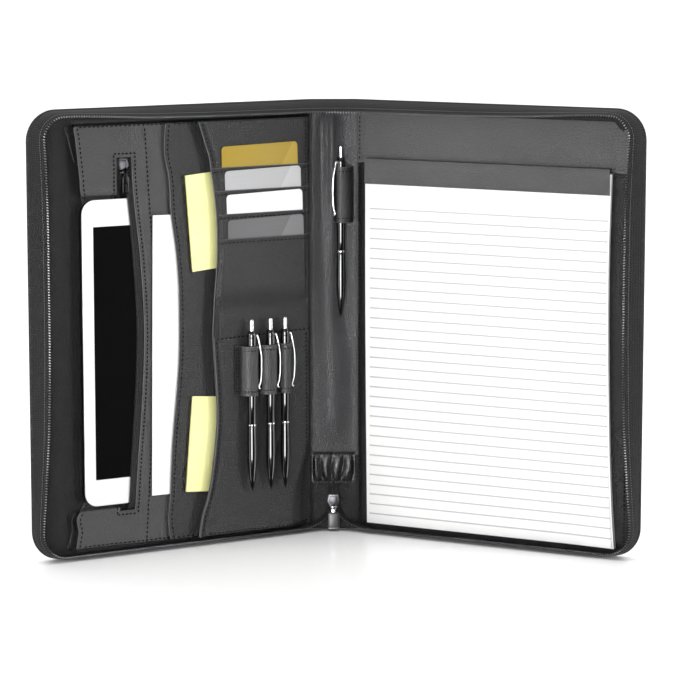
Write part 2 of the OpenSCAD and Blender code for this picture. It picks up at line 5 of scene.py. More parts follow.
import bmesh
import bpy
import numpy as np
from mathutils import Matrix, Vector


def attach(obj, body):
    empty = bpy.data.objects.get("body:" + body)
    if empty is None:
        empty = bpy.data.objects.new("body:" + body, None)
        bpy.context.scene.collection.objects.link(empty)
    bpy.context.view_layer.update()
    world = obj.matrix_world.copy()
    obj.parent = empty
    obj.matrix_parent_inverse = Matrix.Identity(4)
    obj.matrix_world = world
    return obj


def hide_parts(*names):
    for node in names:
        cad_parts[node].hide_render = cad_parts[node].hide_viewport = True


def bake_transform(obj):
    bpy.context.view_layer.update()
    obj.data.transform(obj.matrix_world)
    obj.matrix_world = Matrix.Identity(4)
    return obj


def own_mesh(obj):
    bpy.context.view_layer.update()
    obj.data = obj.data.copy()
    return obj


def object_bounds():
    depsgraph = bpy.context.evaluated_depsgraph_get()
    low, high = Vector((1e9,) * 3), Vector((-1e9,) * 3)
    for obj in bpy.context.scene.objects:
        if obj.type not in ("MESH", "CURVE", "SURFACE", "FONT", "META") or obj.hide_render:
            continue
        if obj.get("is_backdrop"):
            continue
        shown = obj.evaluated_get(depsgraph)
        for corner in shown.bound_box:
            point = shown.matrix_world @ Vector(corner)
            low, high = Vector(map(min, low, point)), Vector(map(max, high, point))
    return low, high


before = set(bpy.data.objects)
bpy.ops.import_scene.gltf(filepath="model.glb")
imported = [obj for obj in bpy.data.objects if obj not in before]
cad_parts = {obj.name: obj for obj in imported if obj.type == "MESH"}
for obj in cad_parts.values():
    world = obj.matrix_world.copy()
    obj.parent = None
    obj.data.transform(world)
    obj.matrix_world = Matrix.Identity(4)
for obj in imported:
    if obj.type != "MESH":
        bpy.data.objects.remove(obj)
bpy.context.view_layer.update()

MM = 0.001
LEFT, RIGHT = -1, 1
SIDES = ((LEFT, "left"), (RIGHT, "right"))

# Sizes of the folder in millimetres, the same as in the part's source
HEIGHT = 350.0
COVER = 248.0
HALF_SPINE = 19.0
OPEN = math.radians(28.5)
BACK_Y = 67.0594
CORNER = 24.0
STACK = 3.2
# Way off the inner face of the spine
SPINE_FACE = (0, -1, 0)


# Shapes

def smooth(x):
    """3x^2 - 2x^3 of x held between 0 and 1."""
    x = np.clip(x, 0.0, 1.0)
    return x * x * (3.0 - 2.0 * x)


def bump_at(x, centre, width):
    """Bell curve: e to the minus square of the distance from centre over width."""
    return np.exp(-(((x - centre) / width) ** 2))


def curve(q, knots):
    """Smooth curve through knots: first column the parameter, the rest the values; cubic Hermite
    pieces whose slopes are the finite differences at the knots."""
    knots = np.asarray(knots, float)
    x, y = knots[:, 0], knots[:, 1:]
    slope = np.gradient(y, x, axis=0)
    q = np.clip(np.asarray(q, float), x[0], x[-1])
    i = np.clip(np.searchsorted(x, q) - 1, 0, len(x) - 2)
    h = (x[i + 1] - x[i])[..., None]
    t = (q - x[i])[..., None] / h
    value = (
        (2 * t**3 - 3 * t**2 + 1) * y[i]
        + (t**3 - 2 * t**2 + t) * h * slope[i]
        + (3 * t**2 - 2 * t**3) * y[i + 1]
        + (t**3 - t**2) * h * slope[i + 1]
    )
    return value[..., 0] if y.shape[1] == 1 else value


def at(side, s, n, z, bend=4.0):
    """Point of a cover: s outward from its hinge line, n inward from its outer face, z up.
    Negative s runs over the spine to its middle. Within bend of the hinge line the fold is a
    quadratic arc, and n is measured square to it."""
    s, n, z = np.broadcast_arrays(*(np.asarray(v, float) for v in (s, n, z)))
    u = np.clip((s + bend) / (2 * bend), 0.0, 1.0)
    before, after = np.minimum(s + bend, 0.0), np.maximum(s - bend, 0.0)
    c, d = math.cos(OPEN), math.sin(OPEN)
    x = HALF_SPINE - bend * (1 - u) ** 2 + bend * c * u**2 + before + after * c
    y = bend * d * u**2 + after * d
    turn = np.arctan2(u * d, 1 - u + u * c)
    return np.stack([side * (x - n * np.sin(turn)), BACK_Y - y - n * np.cos(turn), z], -1)


def left_place(s, n, z):
    """Point of the left cover."""
    return at(LEFT, s, n, z)


def right_place(s, n, z):
    """Point of the right cover."""
    return at(RIGHT, s, n, z)


def on_spine(x, n, z):
    """Point of the spine: x to the right, n inward from its outer face, z up."""
    x, n, z = np.broadcast_arrays(*(np.asarray(v, float) for v in (x, n, z)))
    return np.stack([x, BACK_Y - n, z], -1)


def inward(side):
    """Unit vector that points inward from a cover."""
    return np.array([-side * math.sin(OPEN), -math.cos(OPEN), 0.0])


def unit(v):
    """Vectors scaled to length one."""
    return v / np.maximum(np.linalg.norm(v, axis=-1, keepdims=True), 1e-12)


def lengths(path):
    """Way along a path from its first point to each of its points."""
    return np.concatenate([[0], np.cumsum(np.linalg.norm(np.diff(path, axis=0), axis=1))])


def uv_of(u, v):
    """Grid of UV marks in metres from two ways across in millimetres."""
    return np.stack(np.broadcast_arrays(u, v), -1) * MM


def quads_of(rows, cols, wrap=False):
    """Corner numbers of the quads of a grid; wrap joins the last column to the first."""
    index = np.arange(rows * cols).reshape(rows, cols)
    if wrap:
        index = np.concatenate([index, index[:, :1]], axis=1)
    return np.stack([index[:-1, :-1], index[:-1, 1:], index[1:, 1:], index[1:, :-1]], -1)


def sheet(front, back, keep=None, uv=None):
    """Closed shell between two grids of points: the kept quads on the front, the same quads turned
    over on the back, and a rim quad on every edge that only one kept quad uses."""
    rows, cols = front.shape[:2]
    count = rows * cols
    quads = quads_of(rows, cols)
    quads = quads.reshape(-1, 4) if keep is None else quads[keep]
    a, b = quads.ravel(), np.roll(quads, -1, axis=1).ravel()
    free = ~np.isin(a * count + b, b * count + a)
    a, b = a[free], b[free]
    rim = np.stack([b, a, a + count, b + count], -1)
    faces = np.concatenate([quads, quads[:, ::-1] + count, rim])
    points = np.concatenate([front.reshape(-1, 3), back.reshape(-1, 3)])
    marks = np.zeros((2 * count, 2)) if uv is None else np.tile(uv.reshape(-1, 2), (2, 1))
    used, faces = np.unique(faces, return_inverse=True)
    return points[used], faces.reshape(-1, 4).tolist(), marks[used]


def laid(place, s, n, z, thick, u=None, keep=None):
    """Sheet of even thickness with its front at height n over s and z; u, or else s, is its way
    across for the UV marks."""
    return sheet(place(s, n, z), place(s, n - thick, z), keep, uv_of(s if u is None else u, z))


def band(path, z0, z1, thick, place, rows=2):
    """Sheet that follows a path of (across, height) points between two levels of z, half its
    thickness to each side of the path, square to it."""
    path = np.asarray(path, float)
    along = unit(np.gradient(path, axis=0))
    out = np.stack([-along[:, 1], along[:, 0]], -1) * thick / 2
    z = np.linspace(z0, z1, rows)[:, None]
    front, back = (place(side[None, :, 0], side[None, :, 1], z) for side in (path + out, path - out))
    return sheet(front, back, uv=uv_of(lengths(path)[None, :], z))


def rings(path, ahead, radius, up, sides, wide):
    """Rings of an ellipse about a path, square to the way ahead, wide times as broad as high."""
    across = unit(np.cross(np.asarray(up, float), ahead))
    over = np.cross(ahead, across)
    angle = np.linspace(0, 2 * math.pi, sides, endpoint=False)
    ring = across[:, None] * np.cos(angle)[None, :, None] * wide
    ring = (ring + over[:, None] * np.sin(angle)[None, :, None]) * radius
    return path[:, None] + ring


def swept(points):
    """Round skin over rings of points, each joined to the next."""
    rows, sides = points.shape[:2]
    faces = quads_of(rows, sides, wrap=True).reshape(-1, 4).tolist()
    return points.reshape(-1, 3), faces, np.zeros((rows * sides, 2))


def tube(path, radius, up, sides=8):
    """Rod along a path, its first and last ring shrunk to a point so that the ends close."""
    path = np.asarray(path, float)
    points = rings(path, unit(np.gradient(path, axis=0)), radius, up, sides, 1.0)
    tips = np.repeat(path[[0, -1], None], sides, axis=1)
    return swept(np.concatenate([tips[:1], points, tips[1:]]))


def hoop(path, radius, up, sides=8, wide=1.0):
    """Rod along a closed path, its last ring joined to the first."""
    path = np.asarray(path, float)
    points = rings(path, unit(np.roll(path, -1, 0) - np.roll(path, 1, 0)), radius, up, sides, wide)
    return swept(np.concatenate([points, points[:1]]))


def lathe(profile, place, sides=40):
    """Profile of (radius, height) points turned about its axis; place takes across, height above
    the sheet and z."""
    profile = np.asarray(profile, float)
    angle = np.linspace(0, 2 * math.pi, sides, endpoint=False)[None, :]
    r, h = profile[:, :1], profile[:, 1:]
    points = place(r * np.cos(angle), r * np.sin(angle), h + 0 * angle)
    faces = quads_of(len(profile), sides, wrap=True).reshape(-1, 4).tolist()
    uv = uv_of(angle * 4, h)
    return points.reshape(-1, 3), faces, uv.reshape(-1, 2)


def plate(outline, low, high, edge, place, flush=False):
    """Plate over an anticlockwise outline of (s, z) points between two heights, its rim turned by
    quarter circles of radius edge. Flush leaves the side from the last point to the first open and
    square, for a neighbour to join."""
    outline = np.asarray(outline, float)
    step = unit(np.roll(outline, -1, 0) - outline)
    out = np.stack([step[:, 1], -step[:, 0]], -1)
    out = unit(out + np.roll(out, 1, 0))
    if flush:
        out[0], out[-1] = (0, -1), (0, 1)
    inset, height = rim_profile(low, high, edge)
    points = outline[None] - out[None] * inset[:, None, None]
    levels, count = points.shape[:2]
    placed = place(points[..., 0], height[:, None], points[..., 1])
    faces = quads_of(levels, count, wrap=not flush).reshape(-1, 4).tolist()
    faces.append(list(range(count))[::-1])
    faces.append(list(range((levels - 1) * count, levels * count)))
    return placed.reshape(-1, 3), faces, points.reshape(-1, 2) * MM


def rim_profile(low, high, edge, steps=4):
    """Inset and height round the rim of a plate: a quarter circle at its lower and upper edge."""
    a = np.linspace(0, math.pi / 2, steps)
    inset, rise = edge * (1 - np.sin(a)), edge * (1 - np.cos(a))
    return np.concatenate([inset, inset[::-1]]), np.concatenate([low + rise, high - rise[::-1]])


def round_rect(s0, s1, z0, z1, r, steps=7):
    """Anticlockwise rectangle with quarter-circle corners."""
    a = np.linspace(0, math.pi / 2, steps)
    corner = np.stack([np.cos(a), np.sin(a)], -1) * r
    turn = np.array([[0, 1], [-1, 0]])
    centres = [(s1 - r, z1 - r), (s0 + r, z1 - r), (s0 + r, z0 + r), (s1 - r, z0 + r)]
    parts = [corner @ np.linalg.matrix_power(turn, k) + centres[k] for k in range(4)]
    return np.concatenate(parts)


def soften(points):
    """Corner cutting of a closed outline: each side keeps its points at a quarter and three quarters."""
    points = np.asarray(points, float)
    ahead = np.roll(points, -1, 0)
    return np.stack([0.75 * points + 0.25 * ahead, 0.25 * points + 0.75 * ahead], 1).reshape(-1, 2)


def beads(centres, a, b, c):
    """Small six-sided capsules, all alike: two rings and two tips on the axes a, b and c of each."""
    angle = np.linspace(0, 2 * math.pi, 6, endpoint=False)
    ring = np.stack([0 * angle, np.cos(angle), np.sin(angle)], -1)
    local = np.concatenate(
        [[[-1, 0, 0]], ring * 0.9 - [0.6, 0, 0], ring * 0.9 + [0.6, 0, 0], [[1, 0, 0]]]
    )
    axes = np.stack(np.broadcast_arrays(a, b, c), 1)
    points = centres[:, None] + np.einsum("vk,nkx->nvx", local, axes)
    k = np.arange(6)
    j = (k + 1) % 6
    tips = np.stack([np.stack([0 * k, j + 1, k + 1], -1), np.stack([0 * k + 13, k + 7, j + 7], -1)])
    walls = np.stack([k + 1, j + 1, j + 7, k + 7], -1)
    shift = 14 * np.arange(len(centres))[:, None, None]
    faces = (tips.reshape(-1, 3)[None] + shift).reshape(-1, 3).tolist()
    faces += (walls[None] + shift).reshape(-1, 4).tolist()
    return points.reshape(-1, 3), faces, np.zeros((14 * len(centres), 2))


def evenly(path, pitch):
    """Points at equal steps along a path, and the way ahead at each."""
    path = np.asarray(path, float)
    length = lengths(path)
    count = max(2, int(length[-1] / pitch))
    q = (np.arange(count) + 0.5) * length[-1] / count
    step = pitch * 0.2

    def spots(way):
        return np.stack([np.interp(way, length, path[:, k]) for k in range(3)], -1)

    return spots(q), unit(spots(q + step) - spots(q - step))


def stitches(path, face, pitch=3.6, length=2.4, thread=0.6):
    """Row of stitches along a path: capsules of thread on the surface, whose outward way is face."""
    centres, ahead = evenly(path, pitch)
    face = np.broadcast_to(np.asarray(face, float), centres.shape)
    across = unit(np.cross(face, ahead))
    return beads(centres, ahead * length / 2, across * thread, face * thread * 0.8)


def sewn(path, face, *kind, **sizes):
    """Row of black stitches as a part: its shape and its finish."""
    return stitches(path, face, *kind, **sizes), thread_black


def rod(path, radius, up=(0, 0, 1)):
    """Rounded edge along a path as a part: its shape and its finish, a lighter tone that is a painted
    highlight.
    """
    return tube(path, radius, up, 6), edge_hide_painted_highlight


def piece(name, parts, nodes=(), body=None, blend=None):
    """One object from (shape, material) parts in millimetres, put into the mesh in metres: doubles merged,
    faces turned outward, edges over 45 degrees kept sharp. It rides on a body, or, given a blend, whose
    bodies and points are not read, keeps its transform baked in and rides on none; it stands for the named
    nodes."""
    mesh = bpy.data.meshes.new(name)
    points, faces, marks, finish, base = [], [], [], [], 0
    materials = []
    for (verts, polys, uv), material in parts:
        if material not in materials:
            materials.append(material)
        points.append(verts)
        marks.append(uv)
        faces += [[v + base for v in poly] for poly in polys]
        finish += [materials.index(material)] * len(polys)
        base += len(verts)
    mesh.from_pydata(np.concatenate(points) * MM, [], faces)
    marks = np.concatenate(marks)
    corner = np.empty(len(mesh.loops), np.int32)
    mesh.loops.foreach_get("vertex_index", corner)
    mesh.uv_layers.new(name="UVMap").data.foreach_set("uv", marks[corner].astype(np.float32).ravel())
    mesh.polygons.foreach_set("material_index", finish)
    for material in materials:
        mesh.materials.append(material)
    work = bmesh.new()
    work.from_mesh(mesh)
    bmesh.ops.remove_doubles(work, verts=work.verts, dist=1e-7)
    bmesh.ops.recalc_face_normals(work, faces=work.faces)
    work.to_mesh(mesh)
    work.free()
    mesh.polygons.foreach_set("use_smooth", np.ones(len(mesh.polygons), bool))
    mesh.set_sharp_from_angle(angle=math.radians(45))
    made = bpy.data.objects.new(name, mesh)
    bpy.context.scene.collection.objects.link(made)
    if blend:
        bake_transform(made)
    else:
        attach(made, body)
    if nodes:
        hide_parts(*nodes)
    return made


# Finishes

# Scale of a wave texture for one band per metre
BAND_SCALE = 0.314
# Spacing of the lines on the cut edge of leaves, in metres
LEAF_LINE = 0.0006


def linear(colour):
    """sRGB hex colour as linear red, green, blue and alpha."""
    parts = np.array([int(colour[k:k + 2], 16) for k in (1, 3, 5)]) / 255
    parts = np.where(parts <= 0.04045, parts / 12.92, ((parts + 0.055) / 1.055) ** 2.4)
    return (*(float(v) for v in parts), 1.0)


def wire(tree, node, inputs):
    """Fills a node's inputs: a socket, or the first output of a node, is linked, any other value is set."""
    for key, value in inputs.items():
        value = value.outputs[0] if isinstance(value, bpy.types.Node) else value
        if isinstance(value, bpy.types.NodeSocket):
            tree.links.new(value, node.inputs[key])
        else:
            node.inputs[key].default_value = value


def add(tree, kind, inputs=None, **settings):
    """Adds a shader node with its settings and inputs."""
    made = tree.nodes.new("ShaderNode" + kind)
    for key, value in settings.items():
        setattr(made, key, value)
    wire(tree, made, inputs or {})
    return made


def finish_of(name, **shader):
    """New material and its shader with the given constants, underscores standing for spaces."""
    material = bpy.data.materials.new(name)
    material.use_nodes = True
    tree = material.node_tree
    tree.nodes.clear()
    principled = add(tree, "BsdfPrincipled", {k.replace("_", " "): v for k, v in shader.items()})
    add(tree, "OutputMaterial", {"Surface": principled})
    return material, tree, principled


def leatherette(name, dark, light, grain, rough, depth, index=1.55):
    """Pressed PU leatherette: pebbles with fine creases between them, slow mottling of the colour
    and a satin shine that is a little duller in the creases. Grain is the pebble size in mm, drawn
    about twice the real size so that it shows."""
    material, tree, shader = finish_of(name, IOR=index)
    place = add(tree, "TexCoord").outputs["Object"]
    cells = add(tree, "TexVoronoi", {"Vector": place, "Scale": 1000 / grain}, feature="DISTANCE_TO_EDGE")
    crease = add(tree, "MapRange", {"Value": cells, "From Max": 0.22}, interpolation_type="SMOOTHSTEP")
    mottle = add(tree, "TexNoise", {"Vector": place, "Scale": 28.0, "Detail": 6.0, "Roughness": 0.6})
    fine = add(tree, "TexNoise", {"Vector": place, "Scale": 900.0, "Detail": 3.0})
    colour = add(tree, "Mix", {"Factor": mottle, 6: linear(dark), 7: linear(light)}, data_type="RGBA")
    worn = add(tree, "MapRange", {"Value": crease, "To Min": rough + 0.12, "To Max": rough})
    height = add(tree, "Math", {0: fine, 1: 0.5, 2: crease}, operation="MULTIPLY_ADD")
    relief = add(tree, "Bump", {"Height": height, "Strength": depth, "Distance": 0.0004})
    wire(tree, shader, {"Base Color": colour.outputs[2], "Roughness": worn, "Normal": relief})
    return material


def woven(name, dark, light, thread):
    """Woven polyester tape: ribs across the tape and threads along it, matt with a faint sheen.
    Thread is the rib spacing in mm, drawn about three times the real size so that it shows."""
    material, tree, shader = finish_of(
        name, IOR=1.4, Roughness=0.78, Sheen_Weight=0.06, Sheen_Roughness=0.5, Sheen_Tint=linear("#8a8a8c")
    )
    place = add(tree, "TexCoord").outputs["UV"]
    ways = {"Vector": place, "Scale": BAND_SCALE / (thread * MM), "Distortion": 0.6, "Detail": 1.0}
    ribs = add(tree, "TexWave", ways, bands_direction="X")
    ways.update({"Scale": ways["Scale"] * 0.8, "Distortion": 0.4})
    warp = add(tree, "TexWave", ways, bands_direction="Y")
    weave = add(tree, "Math", {0: ribs.outputs["Fac"], 1: warp.outputs["Fac"]}, operation="MULTIPLY")
    colour = add(tree, "Mix", {"Factor": weave, 6: linear(dark), 7: linear(light)}, data_type="RGBA")
    relief = add(tree, "Bump", {"Height": weave, "Strength": 0.9, "Distance": 0.0004})
    wire(tree, shader, {"Base Color": colour.outputs[2], "Normal": relief})
    return material


def metal(name, dark, light, rough, streak):
    """Plated metal: tone and roughness vary in fine drawn streaks along z."""
    material, tree, shader = finish_of(name, Metallic=1.0)
    place = add(tree, "TexCoord").outputs["Object"]
    stretched = add(tree, "Mapping", {"Vector": place, "Scale": (streak, streak, streak * 0.08)})
    lines = add(tree, "TexNoise", {"Vector": stretched, "Scale": 1.0, "Detail": 4.0})
    colour = add(tree, "Mix", {"Factor": lines, 6: linear(dark), 7: linear(light)}, data_type="RGBA")
    worn = add(tree, "MapRange", {"Value": lines, "To Min": rough * 0.7, "To Max": rough * 1.3})
    wire(tree, shader, {"Base Color": colour.outputs[2], "Roughness": worn})
    return material


def coated(name, dark, light, rough, grain, depth=0.15, **shader_values):
    """Painted, moulded or printed surface: a slight drift of tone and a fine orange-peel or fibre
    relief; grain is the size of that relief in mm."""
    material, tree, shader = finish_of(name, Roughness=rough, **shader_values)
    place = add(tree, "TexCoord").outputs["Object"]
    drift = add(tree, "TexNoise", {"Vector": place, "Scale": 35.0, "Detail": 4.0})
    peel = add(tree, "TexNoise", {"Vector": place, "Scale": 1000 / grain, "Detail": 3.0})
    colour = add(tree, "Mix", {"Factor": drift, 6: linear(dark), 7: linear(light)}, data_type="RGBA")
    relief = add(tree, "Bump", {"Height": peel, "Strength": depth, "Distance": 0.00005})
    wire(tree, shader, {"Base Color": colour.outputs[2], "Normal": relief})
    return material


def ruled_paper():
    """Uncoated writing paper with printed grey lines 8 mm apart, from 15 to 267 mm up the pad,
    drawn about twice as wide as real ones so that they show."""
    material, tree, shader = finish_of("ruled writing paper", Roughness=0.85, IOR=1.45)
    place = add(tree, "TexCoord").outputs["UV"]
    axes = add(tree, "SeparateXYZ", {"Vector": place})
    across, up = axes.outputs["X"], axes.outputs["Y"]
    step = add(tree, "Math", {0: up, 1: 125.0, 2: -1.4375}, operation="MULTIPLY_ADD")
    part = add(tree, "Math", {0: step}, operation="FRACT")
    from_line = add(tree, "Math", {0: part, 1: 0.5}, operation="SUBTRACT")
    off_line = add(tree, "Math", {0: from_line}, operation="ABSOLUTE")
    line = add(
        tree, "MapRange",
        {"Value": off_line, "From Min": 0.03, "From Max": 0.1, "To Min": 1.0, "To Max": 0.0},
        interpolation_type="SMOOTHSTEP",
    )
    above = add(tree, "Math", {0: up, 1: 0.013}, operation="GREATER_THAN")
    below = add(tree, "Math", {0: up, 1: 0.268}, operation="LESS_THAN")
    after = add(tree, "Math", {0: across, 1: 0.0165}, operation="GREATER_THAN")
    rows = add(tree, "Math", {0: above, 1: below}, operation="MULTIPLY")
    field = add(tree, "Math", {0: rows, 1: after}, operation="MULTIPLY")
    ink = add(tree, "Math", {0: line, 1: field}, operation="MULTIPLY")
    colour = add(tree, "Mix", {"Factor": ink, 6: linear("#fbfbfa"), 7: linear("#bdbdbf")}, data_type="RGBA")
    fibre = add(tree, "TexNoise", {"Vector": place, "Scale": 2500.0, "Detail": 3.0})
    relief = add(tree, "Bump", {"Height": fibre, "Strength": 0.1, "Distance": 0.00005})
    wire(tree, shader, {"Base Color": colour.outputs[2], "Normal": relief})
    return material


def leaf_edges(name, face, shade):
    """Cut edge of a stack of leaves: thin light and darker lines, one for every few sheets."""
    material, tree, shader = finish_of(name, Roughness=0.9)
    place = add(tree, "TexCoord").outputs["Object"]
    turned = add(tree, "Mapping", {"Vector": place, "Rotation": (0, 0, OPEN)})
    ways = {"Vector": turned, "Scale": BAND_SCALE / LEAF_LINE, "Distortion": 0.5}
    lines = add(tree, "TexWave", ways, bands_direction="Y").outputs["Fac"]
    colour = add(tree, "Mix", {"Factor": lines, 6: linear(shade), 7: linear(face)}, data_type="RGBA")
    wire(tree, shader, {"Base Color": colour.outputs[2]})
    return material


def card_print_and_sheen(name, base, block, lean, start, rough):
    """Printed plastic card: fine brushed streaks in the foil, and a lighter block to the right of a
    slanting line, which is a painted sheen; start is where the line crosses the card's lower edge, lean its
    slope."""
    material, tree, shader = finish_of(name, Roughness=rough, IOR=1.25)
    place = add(tree, "TexCoord").outputs["UV"]
    axes = add(tree, "SeparateXYZ", {"Vector": place})
    slant = add(
        tree, "Math", {0: axes.outputs["Y"], 1: lean, 2: axes.outputs["X"]}, operation="MULTIPLY_ADD"
    )
    # The lighter side of the slanting line is a painted sheen
    side = add(tree, "Math", {0: slant, 1: start}, operation="LESS_THAN")
    brushed = add(tree, "Mapping", {"Vector": place, "Scale": (60.0, 2600.0, 1.0)})
    streaks = add(tree, "TexNoise", {"Vector": brushed, "Scale": 1.0, "Detail": 3.0}).outputs["Color"]
    colour = add(tree, "Mix", {"Factor": side, 6: linear(base), 7: linear(block)}, data_type="RGBA")
    layers = {"Factor": 0.18, 6: colour.outputs[2], 7: streaks}
    shade = add(tree, "Mix", layers, data_type="RGBA", blend_type="SOFT_LIGHT")
    wire(tree, shader, {"Base Color": shade.outputs[2]})
    return material


# Outer leatherette: broad soft grain, satin
hide = leatherette("grained black leatherette", "#0c0c0d", "#18181a", 1.8, 0.48, 0.9, 1.4)
# Pocket fronts: the same sheet, smoother where it was ironed flat, so it mirrors more of the room
front_hide = leatherette("pocket leatherette", "#111112", "#1f1f20", 1.5, 0.45, 0.8, 1.5)
# First pocket front: the same sheet with a lighter colour, painted light for the brighter outer part of the
# cover
first_hide_painted_light = leatherette("first pocket leatherette with painted light", "#2a2a2b", "#3a3a3b", 1.5, 0.45, 0.7)
# Upper right panel: seen flat to the light, so its satin face reads lighter
pale_hide = leatherette("upper panel leatherette", "#363637", "#464647", 1.4, 0.45, 0.6)
# Lining: thin, matt and darkest
lining_hide = leatherette("lining leatherette", "#080809", "#121213", 1.3, 0.42, 0.6, 1.32)
# Spine lining: stretched over the fold and glossier, so its crest carries a bright band; its colour,
# lighter than the lining's, is painted light on the spine's roll
spine_hide_painted_light = leatherette("spine leatherette with painted light", "#272729", "#39393b", 1.3, 0.4, 0.6)
# Pen loops: thin and drawn tight, glossier than the fronts
loop_hide = leatherette("loop leatherette", "#131314", "#202021", 1.2, 0.34, 0.4)
# Gathered band: thin glossy sheet with bright ridges
glossy_hide = leatherette("gathered glossy leatherette", "#161617", "#202021", 1.1, 0.24, 0.25)
# Turned edges: a lighter tone, a painted highlight that draws a bright line along them
edge_hide_painted_highlight = leatherette("leatherette edge with painted highlight", "#404042", "#545456", 1.0, 0.4, 0.15)
# Zip tape: woven polyester, so it stays matt and nearly black beside the leatherette
tape_cloth = woven("woven zip tape", "#060607", "#242426", 1.5)
# Stitches: twisted polyester thread, matt black dashes
thread_black = coated("black sewing thread", "#050506", "#0c0c0d", 0.8, 0.3, IOR=1.2)
# Stitches on the tapes and the gathered band: the same thread in grey, pale dashes
thread_grey = coated("grey sewing thread", "#4e4e50", "#666668", 0.5, 0.3)
# Zip teeth: nickel-look polyester coil, each turn a bright dot
teeth_nickel = metal("nickel finished zip teeth", "#505052", "#929294", 0.36, 900.0)
# Pocket zip: moulded polyester coil, a fine row of dark satin beads
teeth_black = coated("black polyester zip coil", "#18181a", "#2b2b2d", 0.35, 0.4)
# Bail and eye of the main zip: polished plating that mirrors the lights
nickel = metal("polished nickel", "#b9b9bb", "#ededee", 0.16, 500.0)
# Main slider: die-cast and satin plated, dark with soft highlights
satin_nickel = metal("satin nickel", "#3a3a3c", "#505052", 0.34, 500.0)
# Inlay of the main pull: fired enamel, smooth and slightly glossy
pull_enamel = coated("dark grey enamel", "#2e2e30", "#3e3e40", 0.3, 0.6)
# Pulls and pocket slider: black plating, dark with narrow highlights
black_nickel = metal("black nickel", "#1a1a1b", "#303032", 0.26, 500.0)
# Pen rings and buttons: bright plating with sharp reflections
chrome = metal("bright chrome", "#a8a8aa", "#d8d8da", 0.1, 400.0)
# Pen clips: drawn wire, plated, a white line against the barrel
wire_chrome = metal("satin chrome wire", "#d6d6d8", "#f6f6f7", 0.3, 400.0)
# Pen barrels: sprayed lacquer under a clear coat, black with one sharp streak
lacquer = coated(
    "black pen lacquer", "#050506", "#09090a", 0.12, 0.8, 0.05, Coat_Weight=0.6, Coat_Roughness=0.05
)
# Tablet front: glass enamelled white from behind, clean and glossy
bezel_white = coated("white enamelled glass", "#f2f2f2", "#fafafa", 0.12, 1.0, 0.05, Coat_Weight=0.5)
# Display glass with an anti-reflection coating, which mirrors about one percent
screen_glass = coated("coated display glass", "#0c0c0d", "#101011", 0.05, 1.0, 0.03, IOR=1.18)
# Tablet back: blasted aluminium, dark and even; its dark tone is painted shade along the tablet's side
shell_alu_painted_shade = metal("dark aluminium with painted shade", "#28292b", "#3a3b3d", 0.36, 300.0)
# Papers and pad leaves: uncoated, matt white
plain_paper = coated("plain white paper", "#f6f6f5", "#fdfdfd", 0.85, 0.4)
# Notes: dyed uncoated paper, matt pale yellow
note_paper = coated("pale yellow note paper", "#f8f6a4", "#fffdba", 0.8, 0.4)
# Top leaf of the pad: matt white with fine grey rules
ruled = ruled_paper()
# Cut edges of stacks: light and darker lines of the single leaves
pad_edge = leaf_edges("edges of white leaves", "#fbfbfa", "#c9c9c8")
note_edge = leaf_edges("edges of yellow leaves", "#f6f2a0", "#c9c070")
# Stiffeners: pressed grey board, matt and fibrous
grey_board = coated("grey board", "#7b766e", "#948e85", 0.9, 0.5, 0.4)
# Cards: printed plastic with brushed foil, satin, with one lighter block that is a painted sheen
gold_print = card_print_and_sheen("gold card", "#a88e38", "#b49a43", 0.55, 0.20, 0.4)
silver_print = card_print_and_sheen("silver card", "#b5b5b6", "#c3c3c4", 0.55, 0.192, 0.4)
white_print = card_print_and_sheen("white card", "#f4f4f4", "#fbfbfb", 0.0, -1.0, 0.3)
grey_print = card_print_and_sheen("grey card", "#69696a", "#7b7b7c", 0.55, 0.172, 0.4)

# Camera at the photograph's viewing angle

PITCH, YAW = math.radians(8.62), math.radians(1.55)
SENSOR = 36.0
# Focal length and width of the picture in pixels
FOCAL, PICTURE = 3005.0, 679.0
camera_data = bpy.data.cameras.new("camera")
camera_data.sensor_width = SENSOR
camera_data.lens = SENSOR * FOCAL / PICTURE
camera_data.clip_end = 50.0
camera = bpy.data.objects.new("camera", camera_data)
camera.location = (-0.0599, -2.3346, 0.5196)
camera.rotation_euler = (math.pi / 2 - PITCH, 0.0, -YAW)
bpy.context.scene.collection.objects.link(camera)
bpy.context.scene.camera = camera

# Outer shells, linings and spine

SHELL_EDGE = 1.5
JOIN = 6.0


def shell(side):
    """Outer leatherette of one cover and half the spine: a plate with rounded outer corners, joined
    to a rim profile that is swept round the hinge to the middle of the spine."""
    a = np.linspace(-math.pi / 2, 0, 14)
    low = np.stack([COVER - CORNER + CORNER * np.cos(a), CORNER + CORNER * np.sin(a)], -1)
    high = np.stack([low[::-1, 0], HEIGHT - low[::-1, 1]], -1)
    outline = np.concatenate([[(JOIN, 0.0)], low, high, [(JOIN, HEIGHT)]])
    cover = plate(outline, 0.0, STACK, SHELL_EDGE, left_place if side == LEFT else right_place, flush=True)
    inset, height = rim_profile(0.0, STACK, SHELL_EDGE)
    ring_z = np.concatenate([inset, HEIGHT - inset[::-1]])
    ring_n = np.concatenate([height, height[::-1]])
    s = np.concatenate([np.linspace(-HALF_SPINE, -7, 5), np.linspace(-6, JOIN, 25)])[:, None]
    groove = 0.7 * bump_at(s, -5.2, 1.0) + 0.7 * bump_at(s, 4.4, 1.0)
    groove = np.where(ring_n[None] < 0.8, groove, 0.0) * (s < JOIN - 0.1)
    points = at(side, s, ring_n[None] + groove, ring_z[None])
    rows, cols = points.shape[:2]
    faces = quads_of(rows, cols, wrap=True).reshape(-1, 4).tolist()
    faces.append(list(range(cols)))
    uv = uv_of(s, ring_z[None]).reshape(-1, 2)
    return cover, (points.reshape(-1, 3), faces, uv)


